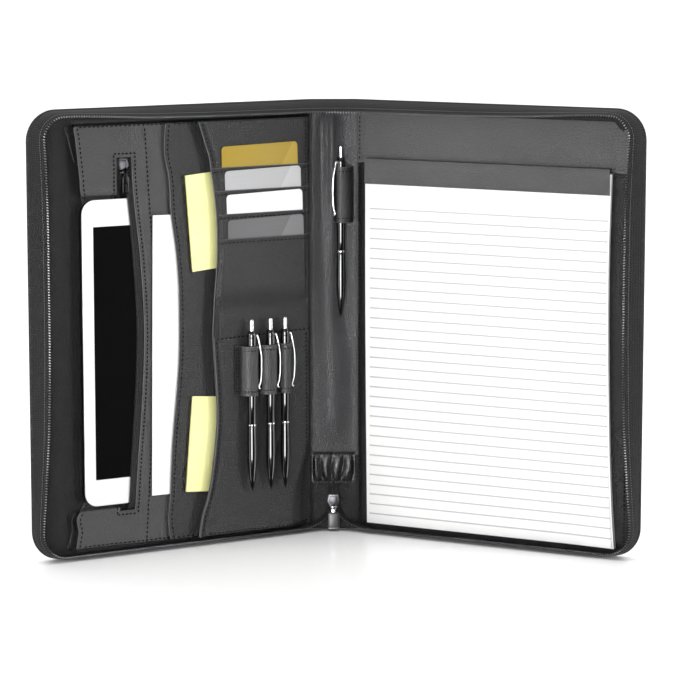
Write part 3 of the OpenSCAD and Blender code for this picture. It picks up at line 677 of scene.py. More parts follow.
def rim_line(side, inset, n, start):
    """Path along the three free sides of a cover, drawn in by an inset."""
    r = CORNER - inset
    a = np.linspace(math.pi / 2, 0, 14)
    top = np.stack([COVER - CORNER + r * np.cos(a), HEIGHT - CORNER + r * np.sin(a)], -1)
    foot = np.stack([top[::-1, 0], HEIGHT - top[::-1, 1]], -1)
    line = np.concatenate([[(start, HEIGHT - inset)], top, foot, [(start, inset)]])
    return at(side, line[:, 0], n, line[:, 1])


def lining(side):
    """Inner lining of a cover: a sheet that follows the rounded outline and swells softly beside
    the pockets, where it turns up to the zip."""
    edge = 2.2
    r = CORNER - edge
    a = np.linspace(0, math.pi / 2, 12)
    s = np.concatenate([np.linspace(3.4, COVER - CORNER, 70), COVER - CORNER + r * np.sin(a[1:])])[:, None]
    over = np.clip(s - (COVER - CORNER), 0, r)
    z_low = CORNER - np.sqrt(np.maximum(r * r - over * over, 0))
    z = z_low + (HEIGHT - 2 * z_low) * np.linspace(0, 1, 60)[None]
    n = STACK + 0.3 + 0.7 * bump_at(s, 229, 6.0) * (0.75 + 0.25 * np.sin(z / 47 + 1))
    n = n + 0.25 * bump_at(s, 238, 2.0)
    return sheet(at(side, s, n, z), at(side, s, STACK - 0.1, z), uv=uv_of(s, z))


def spine_height(x, z):
    """Height of the spine's lining above its outer face: one broad roll, a raised cosine across the
    spine that moves aside for the pen, with two upright folds in its upper part, flat at the foot."""
    beside = smooth((z - 135.0) / 45.0)
    span = np.clip((x + 0.8 + 3.2 * beside) / (17.0 - 3.0 * beside), -1.0, 1.0)
    roll = (3.2 + 0.4 * beside) * (0.5 + 0.5 * np.cos(math.pi * span))
    fold = 0.8 * bump_at(x, -10.5, 2.6) + 1.0 * bump_at(x, -0.6, 2.2) - 0.8 * bump_at(x, -5.2, 2.0)
    fold = roll + fold * smooth((z - 200) / 110)
    return STACK + 0.35 + fold * smooth((z - 62) / 30) * smooth((346 - z) / 20)


def spine_lining(side, z0, z1, rows):
    """Half of the spine's lining between two levels, from the middle over the hinge line to the
    cover's seam."""
    s = np.linspace(-HALF_SPINE, 3.6, 46)[:, None]
    z = np.linspace(z0, z1, rows)[None]
    n = spine_height(side * (HALF_SPINE + np.minimum(s, 0)), z) + 0 * s
    return sheet(at(side, s, n, z), at(side, s, STACK - 0.1 + 0 * n, z), uv=uv_of(s, z))


SPINE_SPLIT = 61.0


def hinge_blend(side, before, after):
    """Bodies and points for a piece that bends at a cover's hinge line."""
    cover = "left_cover" if side == LEFT else "right_cover"
    return "spine", cover, at(side, -before, 0, 0), at(side, after, 0, 0)


for side, word in SIDES:
    cover_body = word + "_cover"
    cover_part, fold_part = shell(side)
    edge_seam = sewn(rim_line(side, 4.2, -0.05, start=9.0), -inward(side))
    outside_nodes = [word + "_skin", word + "_crease"] + (["spine_skin"] if side == LEFT else [])
    piece(
        word + "_outer_leatherette",
        [(cover_part, hide), (fold_part, hide), edge_seam],
        outside_nodes, blend=hinge_blend(side, 7.0, 5.0),
    )
    inner = piece(
        word + "_cover_lining", [(lining(side), lining_hide)], [word + "_lining"], cover_body
    )
    half = piece(
        word + "_spine_lining",
        [
            # Upper spine in the lighter leatherette, painted light; the foot in the plain lining
            (spine_lining(side, SPINE_SPLIT, HEIGHT - 2.6, 70), spine_hide_painted_light),
            (spine_lining(side, 2.6, SPINE_SPLIT, 8), lining_hide),
        ],
        ["spine_lining"] if side == LEFT else [], blend=hinge_blend(side, 7.0, 4.0),
    )

# Main zip: woven walls, teeth, top of the spine and tails

TAPE = 13.0
TAPE_IN = 1.0
TAPE_N = STACK + 0.4
TAPE_T = 0.7
TAPE_START = 18.0
TOP_LEAN = ((0, 9.0), (100, 8.5), (150, 7.5), (200, 4.8), (224, 4.0))
SIDE_LEAN = ((24, 2.0), (97, 9.0), (180, 13.0), (266, 12.5), (326, 8.6))
FOOT_LEAN = 3.5
TOOTH_PITCH = 2.1


def station(s, z, ds, dz, lean):
    """Rows of a zip wall's stations from their columns."""
    return np.stack(np.broadcast_arrays(*(np.asarray(v, float) for v in (s, z, ds, dz, lean))), -1)


def zip_stations():
    """Along the edge of a cover: s, z, the way inward in s and z, and how far the wall leans in."""
    step = 2.0
    s = np.arange(TAPE_START, COVER - CORNER, step)
    z = np.arange(HEIGHT - CORNER, CORNER, -step)
    a = np.radians(np.linspace(90, 0, 20))[:-1]
    c, d = np.cos(a), np.sin(a)
    back = np.append(s[:0:-1], TAPE_START)
    top = station(s, HEIGHT, 0, -1, np.interp(s, *np.transpose(TOP_LEAN)))
    turn_s, turn_z = COVER - CORNER + CORNER * c, CORNER * d
    first = station(turn_s, HEIGHT - CORNER + turn_z, -c, -d, np.linspace(4.0, 8.6, len(a)))
    down = station(COVER, z, -1, 0, np.interp(z, *np.transpose(SIDE_LEAN)))
    b = -np.radians(np.linspace(0, 90, 20))[:-1]
    c, d = np.cos(b), np.sin(b)
    turn_s, turn_z = COVER - CORNER + CORNER * c, CORNER * d
    last = station(turn_s, CORNER + turn_z, -c, -d, np.linspace(2.0, FOOT_LEAN, len(b)))
    foot = station(back, 0, 0, 1, FOOT_LEAN)
    rows = np.concatenate([top, first, down, last, foot])
    window = 15
    padded = np.pad(rows[:, 4], window // 2, mode="edge")
    rows[:, 4] = np.convolve(padded, np.ones(window) / window, mode="valid")
    return rows


def wall_section(lean, w, out=0.0, over=0.0):
    """Inset and height across the zip wall at share w from its base to its free edge: a quadratic
    arc that bulges outward, moved square to its chord by out and past its free edge by over."""
    run = (lean - TAPE_IN) / TAPE
    rise = np.sqrt(1 - run**2)
    bulge = 2.1 * 2 * w * (1 - w) + out
    inset = TAPE_IN + run * (TAPE * w + over) - rise * bulge
    n = TAPE_N - 0.6 * (1 - w) + rise * (TAPE * w + over) + run * bulge
    return inset, n


def zip_wall(side, rows, bend=4.0):
    """Woven wall of the zip along a run of stations, its row of teeth, the cord under the teeth and
    a row of stitches beside them."""
    s, z, ds, dz, lean = (rows[:, k:k + 1] for k in range(5))
    w = np.linspace(0, 1, 11)[None]

    def spot(share, out=0.0, over=0.0):
        inset, n = wall_section(lean, share, out, over)
        return at(side, s + ds * inset, n, np.maximum(z + dz * inset, 0.25), bend)

    front, back = spot(w), spot(w, -TAPE_T)
    cloth = sheet(front, back, uv=uv_of(lengths(front[:, -1])[:, None], w * TAPE))
    whole = np.ones((1, 1))
    free, beyond = spot(whole, -TAPE_T / 2, 0.4)[:, 0], spot(whole, -TAPE_T / 2, 1.4)[:, 0]
    centres, ahead = evenly(beyond, TOOTH_PITCH)
    inner = evenly(free, TOOTH_PITCH)[0]
    count = min(len(centres), len(inner))
    centres, ahead, inner = centres[:count], ahead[:count], inner[:count]
    across = unit(centres - inner)
    face = np.cross(ahead, across)
    teeth = beads(centres - across * 0.4, across * 1.15, ahead * 0.5, face * 0.8)
    cord = tube(free, 0.62, up=(0.31, 0.95, 0.0), sides=6)
    seam_row = spot(np.full((1, 1), 0.8), 0.12)[:, 0]
    seam = stitches(seam_row, inward(side), pitch=TOOTH_PITCH, length=1.3, thread=0.3)
    return cloth, teeth, cord, seam


zip_rows = zip_stations()
for side, word in SIDES:
    cover_body = word + "_cover"
    cloth, teeth, cord, seam = zip_wall(side, zip_rows)
    piece(
        word + "_zip_wall", [(cloth, tape_cloth), (cord, tape_cloth), (seam, thread_grey)],
        [word + "_zip_tape"], cover_body,
    )
    piece(word + "_zip_teeth", [(teeth, teeth_nickel)], [word + "_zip_chain"], cover_body)
    over_s = np.linspace(TAPE_START, -HALF_SPINE, 30)
    over_rows = station(over_s, HEIGHT, 0, -1, zip_rows[0, 4])
    cloth, teeth, cord, seam = zip_wall(side, over_rows, bend=16.0)
    piece(
        word + "_zip_over_spine",
        [(cloth, tape_cloth), (cord, tape_cloth), (teeth, teeth_nickel), (seam, thread_grey)],
        ["spine_zip_tape"] if side == LEFT else [], blend=hinge_blend(side, 16.0, 16.0),
    )

SLIDER_N = 9.2
SLIDER_Z = 18.0


def zip_tail(side):
    """Tape from the foot of a cover to the slider and up into the closed zip: a ruled sheet between
    a sewn edge and a toothed edge, both smooth curves through given points."""
    inset, n = wall_section(np.array([[FOOT_LEAN]]), np.array([[0.0, 1.0]]))
    foot = at(side, TAPE_START, n[0], inset[0])
    base_xyz = np.array([
        foot[0],
        at(side, 8.0, 3.6, 2.6),
        on_spine(side * 13.0, 4.4, 6.0),
        on_spine(side * 7.0, 7.2, 14.5),
        on_spine(side * 4.4, SLIDER_N, 22.0),
        on_spine(side * 4.0, SLIDER_N - 0.4, 31.0),
        on_spine(side * 4.0, STACK + 0.9, 39.5),
    ])
    free_xyz = np.array([
        foot[1],
        at(side, 7.0, 15.6, 4.6, 16.0),
        on_spine(side * 10.5, 14.4, 8.2),
        on_spine(side * 4.6, 11.6, 13.6),
        on_spine(side * 1.1, SLIDER_N, 19.5),
        on_spine(side * 0.5, SLIDER_N - 0.4, 31.0),
        on_spine(side * 0.5, STACK + 0.9, 39.5),
    ])
    knots = np.array([0, 1.0, 1.9, 2.7, 3.4, 4.1, 4.7])[:, None]
    q = np.linspace(0, 4.7, 60)
    base, free = curve(q, np.hstack([knots, base_xyz])), curve(q, np.hstack([knots, free_xyz]))
    w = np.linspace(0, 1, 9)[None, :, None]
    front = base[:, None] * (1 - w) + free[:, None] * w
    ahead = np.gradient(front, axis=0)
    across = np.gradient(front, axis=1)
    normal = unit(np.cross(ahead, across))
    front = front + normal * side * 1.2 * (4 * w * (1 - w)) * smooth((3.0 - q) / 1.5)[:, None, None]
    front[..., 2] = np.maximum(front[..., 2], 0.25)
    back = front - normal * side * 0.5
    back[..., 2] = np.maximum(back[..., 2], 0.2)
    uv = uv_of(lengths(free)[:, None], w[..., 0] * TAPE)
    open_part = q <= 3.45
    toothed, beside = free[open_part], front[open_part, 6]
    centres, way = evenly(toothed, TOOTH_PITCH)
    inner = evenly(beside, lengths(beside)[-1] / lengths(toothed)[-1] * TOOTH_PITCH)[0]
    count = min(len(centres), len(inner))
    centres, way = centres[:count], way[:count]
    out = unit(centres - inner[:count])
    teeth = beads(centres + out * 0.3, out * 1.15, way * 0.5, np.cross(way, out) * 0.8)
    return sheet(front, back, uv=uv), teeth, tube(free, 0.6, up=(0.3, 0.9, 0.3), sides=6)


for side, word in SIDES:
    cloth, teeth, cord = zip_tail(side)
    piece(
        word + "_zip_tail", [(cloth, tape_cloth), (cord, tape_cloth), (teeth, teeth_nickel)],
        [word + "_tail"], blend=hinge_blend(side, 12.0, 14.0),
    )


def slider_parts(place, bar, body_metal, bail_metal, bar_out):
    """Zip slider: two rounded hexagonal plates, a raised boss on the front one, a post between them and a
    wire bail."""
    hexagon = [(-1.6, 0), (1.6, 0), (5.3, 6.2), (4.0, 12), (-4.0, 12), (-5.3, 6.2)]
    boss = [(-1.2, 2.6), (1.2, 2.6), (3.3, 6.4), (2.6, 10.4), (-2.6, 10.4), (-3.3, 6.4)]
    post = soften([(-1.2, 0.4), (1.2, 0.4), (0.3, 3.4), (-0.3, 3.4)])
    parts = [
        (plate(hexagon, 0.8, 1.9, 0.4, place), body_metal),
        (plate(hexagon, -1.9, -0.8, 0.4, place), body_metal),
        (plate(boss, 1.7, 2.5, 0.35, place), body_metal),
        (plate(post, -0.9, 0.9, 0.1, place), body_metal),
    ]
    half = np.array([
        (-2.4, 1.4), (-2.4, 2.6), (-2.4, bar_out - 0.9), (-2.1, bar_out - 0.25), (-1.4, bar_out),
        (0, bar_out), (1.4, bar_out), (2.1, bar_out - 0.25), (2.4, bar_out - 0.9), (2.4, 2.6), (2.4, 1.4),
    ])
    parts.append((tube(bar(half[:, 0], half[:, 1], 2.0), 0.8, up=(0, 0, 1), sides=10), bail_metal))
    return parts


def eye(place, up, plating):
    """Eye of a pull: a broad ring round the bail's bar, which is the origin of the pull's frame."""
    a = np.linspace(0, 2 * math.pi, 20, endpoint=False)
    return hoop(place(0, 1.6 * np.cos(a), 1.6 * np.sin(a)), 0.5, up=up, wide=2.0), plating


def main_place(x, n, z):
    """Frame of the main slider on the spine."""
    return on_spine(x, SLIDER_N + n, SLIDER_Z + z)


piece(
    "main_zip_slider", slider_parts(main_place, main_place, satin_nickel, nickel, 4.5),
    ["zip_slider"], "main_slider",
)


def main_pull_place(x, n, z):
    """Frame of the main pull, its eye at the origin."""
    return on_spine(x, SLIDER_N + 4.5 + n, SLIDER_Z + 2.0 + z)


tab = round_rect(-4.5, 4.5, -18.2, -4.4, 1.2)
inlay = round_rect(-3.5, 3.5, -16.6, -5.4, 0.8)
frame_line = round_rect(-4.3, 4.3, -18.0, -4.6, 1.2)
frame_rim = hoop(main_pull_place(frame_line[:, 0], 0.75, frame_line[:, 1]), 0.4, up=(0, 1, 0), sides=6)
foot_cap = round_rect(-4.6, 4.6, -18.6, -16.4, 0.8)
piece(
    "main_zip_pull",
    [
        eye(main_pull_place, (1, 0, 0), nickel),
        (plate(round_rect(-1.6, 1.6, -5.2, -1.3, 0.5), -0.7, 0.7, 0.3, main_pull_place), nickel),
        (plate(tab, -0.8, 0.8, 0.35, main_pull_place), black_nickel),
        (plate(inlay, -1.05, 1.05, 0.25, main_pull_place), pull_enamel),
        (frame_rim, black_nickel),
        (plate(foot_cap, -1.0, 1.0, 0.35, main_pull_place), satin_nickel),
    ],
    ["zip_pull"], "main_pull",
)

# Foot of the spine: gathered band

BAND_LOW, BAND_HIGH = 39.3, 62.3
BAND_HALF = 17.4


def gathered_band(side):
    """Half of the elastic band of lining: upright ruffles whose height is the root of a raised cosine
    across the spine, drifting with z, and drawn flat into a hem at the top and bottom."""
    x = side * np.linspace(0.0, BAND_HALF, 60)[None]
    z = np.linspace(BAND_LOW, BAND_HIGH, 26)[:, None]
    rise = np.sin(math.pi * (z - BAND_LOW) / (BAND_HIGH - BAND_LOW)) ** 0.7
    phase = 2 * math.pi * x / 8.6 + 0.7 * np.sin((z - 40) / 5.0 + x / 7.0)
    ruffle = 2.5 * (0.5 - 0.5 * np.cos(phase + 0.9)) ** 0.5
    n = STACK + 0.9 + rise * (0.4 + ruffle) * smooth((BAND_HALF - np.abs(x)) / 3.0)
    return laid(on_spine, x, n, z, 0.6)


def hem_bar(side, z, n, high, thick):
    """Flat folded hem across half the spine."""
    ends_x = sorted((0.0, side * BAND_HALF))
    return plate(round_rect(*ends_x, z - high / 2, z + high / 2, 0.6), n, n + thick, 0.3, on_spine)


for side, word in SIDES:
    line_x = side * np.linspace(0.6, BAND_HALF - 0.4, 24)
    low_seam = stitches(on_spine(line_x, STACK + 1.35, BAND_LOW - 0.4), SPINE_FACE, 2.6, 1.6, 0.4)
    band_half = piece(
        "gathered_band_" + word,
        [
            (gathered_band(side), glossy_hide),
            (hem_bar(side, BAND_HIGH + 0.4, STACK + 0.4, 2.6, 0.9), lining_hide),
            (hem_bar(side, BAND_LOW - 0.4, STACK + 0.4, 2.2, 0.9), lining_hide),
            (low_seam, thread_grey),
            sewn(on_spine(line_x, STACK + 1.35, BAND_HIGH + 0.4), SPINE_FACE, 2.6, 1.6, 0.4),
        ],
        ["gather_band"] if side == LEFT else [], "spine",
    )
    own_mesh(band_half)

# Left cover: pocket fronts

ZIP_EDGE = (
    (6.2, 214.5), (20.0, 211.9), (36.0, 210.6), (39.5, 206.2), (42.0, 204.4), (60.0, 203.4),
    (125.0, 203.2), (200.0, 203.2), (270.0, 203.2), (279.8, 203.2), (281.4, 203.9), (283.0, 205.6),
    (285.0, 206.2), (296.0, 207.2), (312.0, 208.8), (329.0, 210.6), (336.0, 211.4), (337.2, 210.6),
    (338.4, 208.8),
)
SLOT_IN = (
    (4.0, 163.5), (34.5, 163.5), (40.0, 163.2), (74.0, 160.7), (121.0, 156.7), (176.0, 154.3),
    (231.0, 157.1), (281.0, 162.2), (298.0, 163.2), (311.5, 163.5), (338.0, 163.5),
)
RIB_LINE = (
    (6.0, 151.9), (72.8, 147.7), (120.0, 144.6), (175.0, 142.3), (230.0, 143.9), (277.0, 146.9),
    (338.0, 150.5),
)
SLOT_OUT = 176.0
SLOT_LOW, SLOT_HIGH = 34.5, 311.5
SECOND_EDGE = (
    (6.2, 134.0), (25.7, 135.9), (40.0, 134.2), (62.8, 133.0), (80.0, 132.0), (119.0, 128.2),
    (150.0, 125.4), (182.0, 124.8), (215.0, 125.4), (240.0, 127.6), (265.0, 131.2), (298.0, 133.6),
    (312.0, 136.6), (326.0, 136.4), (338.4, 135.1),
)
CARD_EDGE = (
    (6.2, 112.4), (23.5, 109.6), (40.5, 104.0), (70.0, 98.8), (100.0, 95.7), (137.0, 97.0),
    (167.0, 98.7), (190.0, 97.6), (238.0, 94.1), (262.0, 94.7), (283.0, 96.9), (301.5, 99.8),
    (308.6, 100.8), (319.0, 104.2), (329.0, 107.4), (338.4, 110.6),
)
PANEL_LOW, PANEL_HIGH = 6.2, 338.4
END_RUN = 1.8
# Levels above and below the tablet where the first pocket front steps
STEP_HIGH, STEP_LOW = 280.6, 39.4
STEP_RUN = 3.0
PANEL_T = 0.7
# Way off the left cover, for the rods along its pockets
LEFT_UP = (0.47, -0.88, 0)
PEN_TOP, PEN_MID, PEN_TILT = 168.0, 72.0, 0.032
TOP_SEAM, FOOT_SEAM = 336.0, 9.0


def ends(z):
    """Share of a pocket's full depth at z: one, turned back sharply to none at its two sewn ends."""
    return smooth((z - PANEL_LOW) / END_RUN) * smooth((PANEL_HIGH - z) / END_RUN)


def end_rows(low, high, count):
    """Levels of z from low to high, closer together near both ends."""
    near = np.array([0, 0.25, 0.55, 0.9, 1.25, 1.55, 1.8, 2.2, 3.0, 4.5])
    return np.concatenate([low + near, np.linspace(low + 7, high - 7, count), high - near[::-1]])


def zip_height(s, z):
    """Front of the first pocket front: beside the tablet flat under its outer part and high over its
    inner part, above and below it raised to one level, so that its corners stand off."""
    beside = 7.4 * smooth((SLOT_OUT - s) / (SLOT_OUT - curve(z, SLOT_IN)))
    clear = smooth((z - STEP_HIGH) / STEP_RUN) + smooth((STEP_LOW - z) / STEP_RUN)
    level = 5.6 + 1.8 * smooth((SLOT_OUT + 10.0 - s) / 40.0)
    return 4.1 + (beside + (level - beside) * clear) * smooth((s - 4.0) / 20.0) * ends(z)


def second_height(s, z):
    """Front of the second pocket front, its free edge a little raised."""
    w = curve(z, SECOND_EDGE) - s
    return 4.8 + (8.8 + 0.15 * smooth(1.0 - w / 12.0)) * smooth((s - 3.5) / 17.0) * ends(z)


def card_height(s, z):
    """Front of the third pocket front, its free edge standing well off the notes. Beside the spine it
    rises within a short run, at the foot within a long one, which leaves room for the zip pull."""
    w = curve(z, CARD_EDGE) - s
    run = 8.5 + 18.0 * smooth((84.0 - z) / 62.0)
    return 5.4 + (10.9 + 3.8 * smooth(1.0 - w / 8.0)) * smooth((s - 3.0) / run) * ends(z)


def pen_height(s, z):
    """Front of the low pocket front under the pens."""
    return card_height(s, z) + 0.9


def hem_rise(w, wide=4.6):
    """Turned hem along a free edge: a doubled strip with a groove under its seam."""
    return 0.2 * smooth((wide - w) / 1.0) - 0.3 * bump_at(w, 3.0, 0.55) - 0.35 * bump_at(w, 0.0, 0.5)


HEM_STEPS = np.array([0, 0.35, 0.8, 1.5, 2.2, 2.6, 3.0, 3.4, 3.8, 4.3, 4.9, 5.8, 7.5])


def pocket_front(edge, inner, height, z0, z1, columns, rows=96, tilt=0.0):
    """Pocket front from its free edge to the seam beside the spine: the height function plus a
    turned hem measured from the edge, closed to a sheet of even thickness. Its upper end is tilted
    about PEN_MID by a slope."""
    z = end_rows(z0, z1, rows)[None]
    out = curve(z, edge)
    share = np.linspace(0, 1, columns)[1:, None]
    hem = HEM_STEPS[:, None] + 0 * z
    w = np.concatenate([hem, HEM_STEPS[-1] + share * (out - HEM_STEPS[-1] - inner)])
    s = out - w
    z = z + tilt * (PEN_MID - s) * (z - z0) / (z1 - z0)
    n = height(s, z) + hem_rise(w) - 0.25 * bump_at(s, inner + 3.0, 0.6)
    return laid(left_place, s, n, z, PANEL_T, w)


def edge_bead(edge, height, z0, z1):
    """Rod along a pocket's free edge, its lighter tone a painted highlight."""
    z = np.linspace(z0, z1, 120)
    s = curve(z, edge)
    return rod(at(LEFT, s - 0.1, height(s, z) - 0.25, z), 0.4, LEFT_UP)


def seam_along(edge, height, inset, z0, z1):
    """Stitches that follow a pocket's free edge at a distance."""
    z = np.linspace(z0, z1, 200)
    s = curve(z, edge) - inset
    return sewn(at(LEFT, s, height(s, z) + hem_rise(np.array(inset)) + 0.1, z), inward(LEFT))


def seam_across(height, z, s0, s1, lift=0.1, **kind):
    """Stitches across a pocket front at one level."""
    s = np.linspace(s0, s1, 120)
    return sewn(at(LEFT, s, height(s, z) + lift, z), inward(LEFT), **kind)


def zip_front():
    """First pocket front: a grid from the outer edge to the spine, open where the zipped slot is."""
    steps = np.linspace(0, STEP_RUN, 8)
    rows = end_rows(PANEL_LOW, PANEL_HIGH, 100)
    levels = [rows, [SLOT_LOW, SLOT_HIGH], STEP_HIGH + steps, STEP_LOW - steps]
    z = np.unique(np.concatenate(levels))[None]
    out, slot = curve(z, ZIP_EDGE), curve(z, SLOT_IN)
    t = np.concatenate([np.linspace(0, 0.1, 10)[:-1], np.linspace(0.1, 1, 12)])[:, None]
    outer = out + (SLOT_OUT - out) * t
    bridge = SLOT_OUT + (slot - SLOT_OUT) * np.linspace(0, 1, 9)[1:, None]
    rest = slot - HEM_STEPS[1:, None]
    far = rest[-1] + (3.4 - rest[-1]) * np.linspace(0, 1, 60)[1:, None]
    s = np.concatenate([outer, bridge, rest, far])
    rib = 0.25 * bump_at(s, slot_rib(z), 1.0) - 0.35 * bump_at(s, slot_rib(z) + 2.2, 0.6)
    n = zip_height(s, z) + rib * ends(z)
    n = n + np.where(s <= slot, hem_rise(slot - s, 5.0), 0.0)
    keep = np.ones((s.shape[0] - 1, s.shape[1] - 1), bool)
    first, last = len(outer) - 1, len(outer) + len(bridge) - 1
    middle = (z[0, :-1] >= SLOT_LOW - 0.01) & (z[0, 1:] <= SLOT_HIGH + 0.01)
    keep[first:last, middle] = False
    return laid(left_place, s, n, z, PANEL_T, out - s, keep)


def slot_rib(z):
    """Joining seam of the first pocket front, beside the zipped slot."""
    return curve(z, RIB_LINE)


def slot_seam():
    """Stitches round the zipped slot: up one side, across the top and down the other."""
    z = np.linspace(SLOT_LOW - 3, SLOT_HIGH + 3, 160)
    inner = np.stack([curve(z, SLOT_IN) - 2.6, z], -1)
    outer = np.stack([0 * z[::-1] + SLOT_OUT + 2.4, z[::-1]], -1)
    across = np.linspace(inner[-1, 0], SLOT_OUT + 2.4, 12)[1:-1]
    top = np.stack([across, 0 * across + SLOT_HIGH + 3], -1)
    foot = np.stack([across[::-1], 0 * across + SLOT_LOW - 3], -1)
    line = np.concatenate([inner, top, outer, foot])
    n = zip_height(line[:, 0], line[:, 1]) + 0.25
    return sewn(at(LEFT, line[:, 0], n, line[:, 1]), inward(LEFT), pitch=3.2, length=2.2)


zip_z = np.linspace(10, 334, 200)
rib_line = at(LEFT, slot_rib(zip_z) + 2.2, zip_height(slot_rib(zip_z) + 2.2, zip_z) + 0.05, zip_z)
slot_z = np.linspace(SLOT_LOW, SLOT_HIGH, 120)
slot_s = curve(slot_z, SLOT_IN)
slot_bead = rod(left_place(slot_s - 0.1, zip_height(slot_s, slot_z) - 0.1, slot_z), 0.45, LEFT_UP)
first_pocket = piece(
    "zipped_pocket_front",
    [
        (zip_front(), first_hide_painted_light),
        edge_bead(ZIP_EDGE, zip_height, PANEL_LOW + 2, PANEL_HIGH - 2),
        slot_bead,
        slot_seam(),
        sewn(rib_line, inward(LEFT)),
        seam_along(ZIP_EDGE, zip_height, 3.0, 8, 336),
        seam_across(zip_height, TOP_SEAM, 208, 133),
        seam_across(zip_height, FOOT_SEAM, 208, 133),
    ],
    ["zip_panel"], "left_cover",
)

second_pocket = piece(
    "second_pocket_front",
    [
        (pocket_front(SECOND_EDGE, 3.2, second_height, PANEL_LOW, PANEL_HIGH, 40), front_hide),
        edge_bead(SECOND_EDGE, second_height, PANEL_LOW + 2, PANEL_HIGH - 2),
        seam_along(SECOND_EDGE, second_height, 3.0, 8, 336),
        seam_across(second_height, TOP_SEAM, 129, 107),
        seam_across(second_height, FOOT_SEAM, 129, 108),
    ],
    ["second_panel"], "left_cover",
)

# Stitches beside the spine, on both covers
SPINE_STITCH = {"pitch": 3.2, "length": 2.0, "thread": 0.55}
spine_seam_z = np.linspace(10, 335, 160)
spine_seam = at(LEFT, 13.0, card_height(13.0, spine_seam_z) + 0.15, spine_seam_z)
third_pocket = piece(
    "card_pocket_front",
    [
        (pocket_front(CARD_EDGE, 2.8, card_height, PANEL_LOW, PANEL_HIGH, 40), front_hide),
        edge_bead(CARD_EDGE, card_height, PANEL_LOW + 2, PANEL_HIGH - 2),
        seam_along(CARD_EDGE, card_height, 3.0, 168, 336),
        seam_across(card_height, TOP_SEAM, 102, 7, lift=-0.32),
        sewn(spine_seam, inward(LEFT), **SPINE_STITCH),
    ],
    ["card_panel"], "left_cover",
)

PEN_EDGE = tuple((z, s - 0.5) for z, s in CARD_EDGE)


def pen_front_height(s, z):
    """Front of the pens' pocket, drawn down into its tilted upper seam."""
    top = PEN_TOP + PEN_TILT * (PEN_MID - s)
    return pen_height(s, z) - 0.35 * bump_at(z, top - 2.4, 0.7)


pen_s = np.linspace(94, 6, 120)
pen_z = PEN_TOP + PEN_TILT * (PEN_MID - pen_s) - 2.4
pen_front = pocket_front(PEN_EDGE, 2.6, pen_front_height, PANEL_LOW - 0.4, PEN_TOP, 40, 80, PEN_TILT)
pen_pocket = piece(
    "pen_pocket_front",
    [
        (pen_front, front_hide),
        edge_bead(PEN_EDGE, pen_height, PANEL_LOW + 2, PEN_TOP - 1.2),
        seam_along(PEN_EDGE, pen_height, 3.0, 8, 164),
        sewn(at(LEFT, pen_s, pen_height(pen_s, pen_z) - 0.1, pen_z), inward(LEFT)),
        seam_across(pen_height, FOOT_SEAM, 102, 6),
        sewn(spine_seam[:77] + inward(LEFT) * 0.9, inward(LEFT), **SPINE_STITCH),
    ],
    ["pen_panel"], "left_cover",
)

# Card slots

HEMS = (300.0, 282.0, 263.5, 244.0)
CARD_TOPS = (317.5, 298.3, 279.7, 259.9)
CARD_STARTS = (20.0, 17.8, 17.0, 16.8)
CARD_W, CARD_H, CARD_T = 68.0, 54.0, 0.7
CARD_TURN = math.radians(1.5)
CARD_N, CARD_PITCH = 16.5, 1.3


def strip_height(i):
    """Front of one card slot: it lies over its card, on the slots above it, and comes down to the
    pocket front at both side seams and below its card."""
    def height(s, z):
        share = smooth((curve(z, CARD_EDGE) - 1.0 - s) / 4.0) * smooth((s - 12.6) / 4.0)
        share = share * smooth((z - CARD_TOPS[i] + CARD_H + 20.0) / 20.0)
        flat = 0.35 + 0.12 * i
        return card_height(s, z) + flat + (CARD_PITCH * (i + 1) + 0.1 - flat) * share
    return height


# Steps down from the lip of a card slot, close together at its seam
LIP_STEPS = np.array([4, 3.2, 2.8, 2.4, 1.6, 0.8, 0.3, 0.0])
strip_parts = []
for i in range(4):
    foot = CARD_TOPS[i] - CARD_H - 3 if i < 3 else PEN_TOP - 1
    height = strip_height(i)
    z = np.concatenate([np.linspace(foot, HEMS[i] - 5, 22), HEMS[i] - LIP_STEPS])[None]
    t = np.linspace(0, 1, 60)[:, None]
    s = (curve(z, CARD_EDGE) - 1.0) * (1 - t) + 3.6 * t
    over = HEMS[i] - z
    n = height(s, z) + 0.05 * smooth((3.8 - over) / 0.8)
    n = n - 0.3 * bump_at(over, 2.8, 0.5) - 0.25 * bump_at(over, 0, 0.4)
    strip_parts.append((laid(left_place, s, n, z, 0.45), front_hide))
    out = curve(HEMS[i], CARD_EDGE)
    line = np.linspace(out - 1.0, 4.0, 90)
    lip = rod(left_place(line, height(line, HEMS[i]) - 0.2, HEMS[i]), 0.4)
    seam = seam_across(height, HEMS[i] - 2.8, out - 2.0, 6.0, lift=-0.05, thread=0.42)
    strip_parts += [lip, seam]
strips = piece("card_slots", strip_parts, ["card_strips"], "left_cover")

for i, (word, print_of) in enumerate(
    (("gold", gold_print), ("silver", silver_print), ("white", white_print), ("grey", grey_print))
):
    n = CARD_N + i * CARD_PITCH
    outline = round_rect(-CARD_W / 2, CARD_W / 2, -CARD_H / 2, CARD_H / 2, 3.2)
    card_cos, card_sin = math.cos(CARD_TURN), math.sin(CARD_TURN)
    tilt = np.array([[card_cos, -card_sin], [card_sin, card_cos]])
    outline = outline @ tilt + (CARD_STARTS[i] + CARD_W / 2, CARD_TOPS[i] - CARD_H / 2)
    piece(
        word + "_card",
        [(plate(outline, n, n + CARD_T, 0.18, left_place), print_of)],
        ["card_" + word], "card_" + word,
    )

# Gussets behind the ends of the pockets


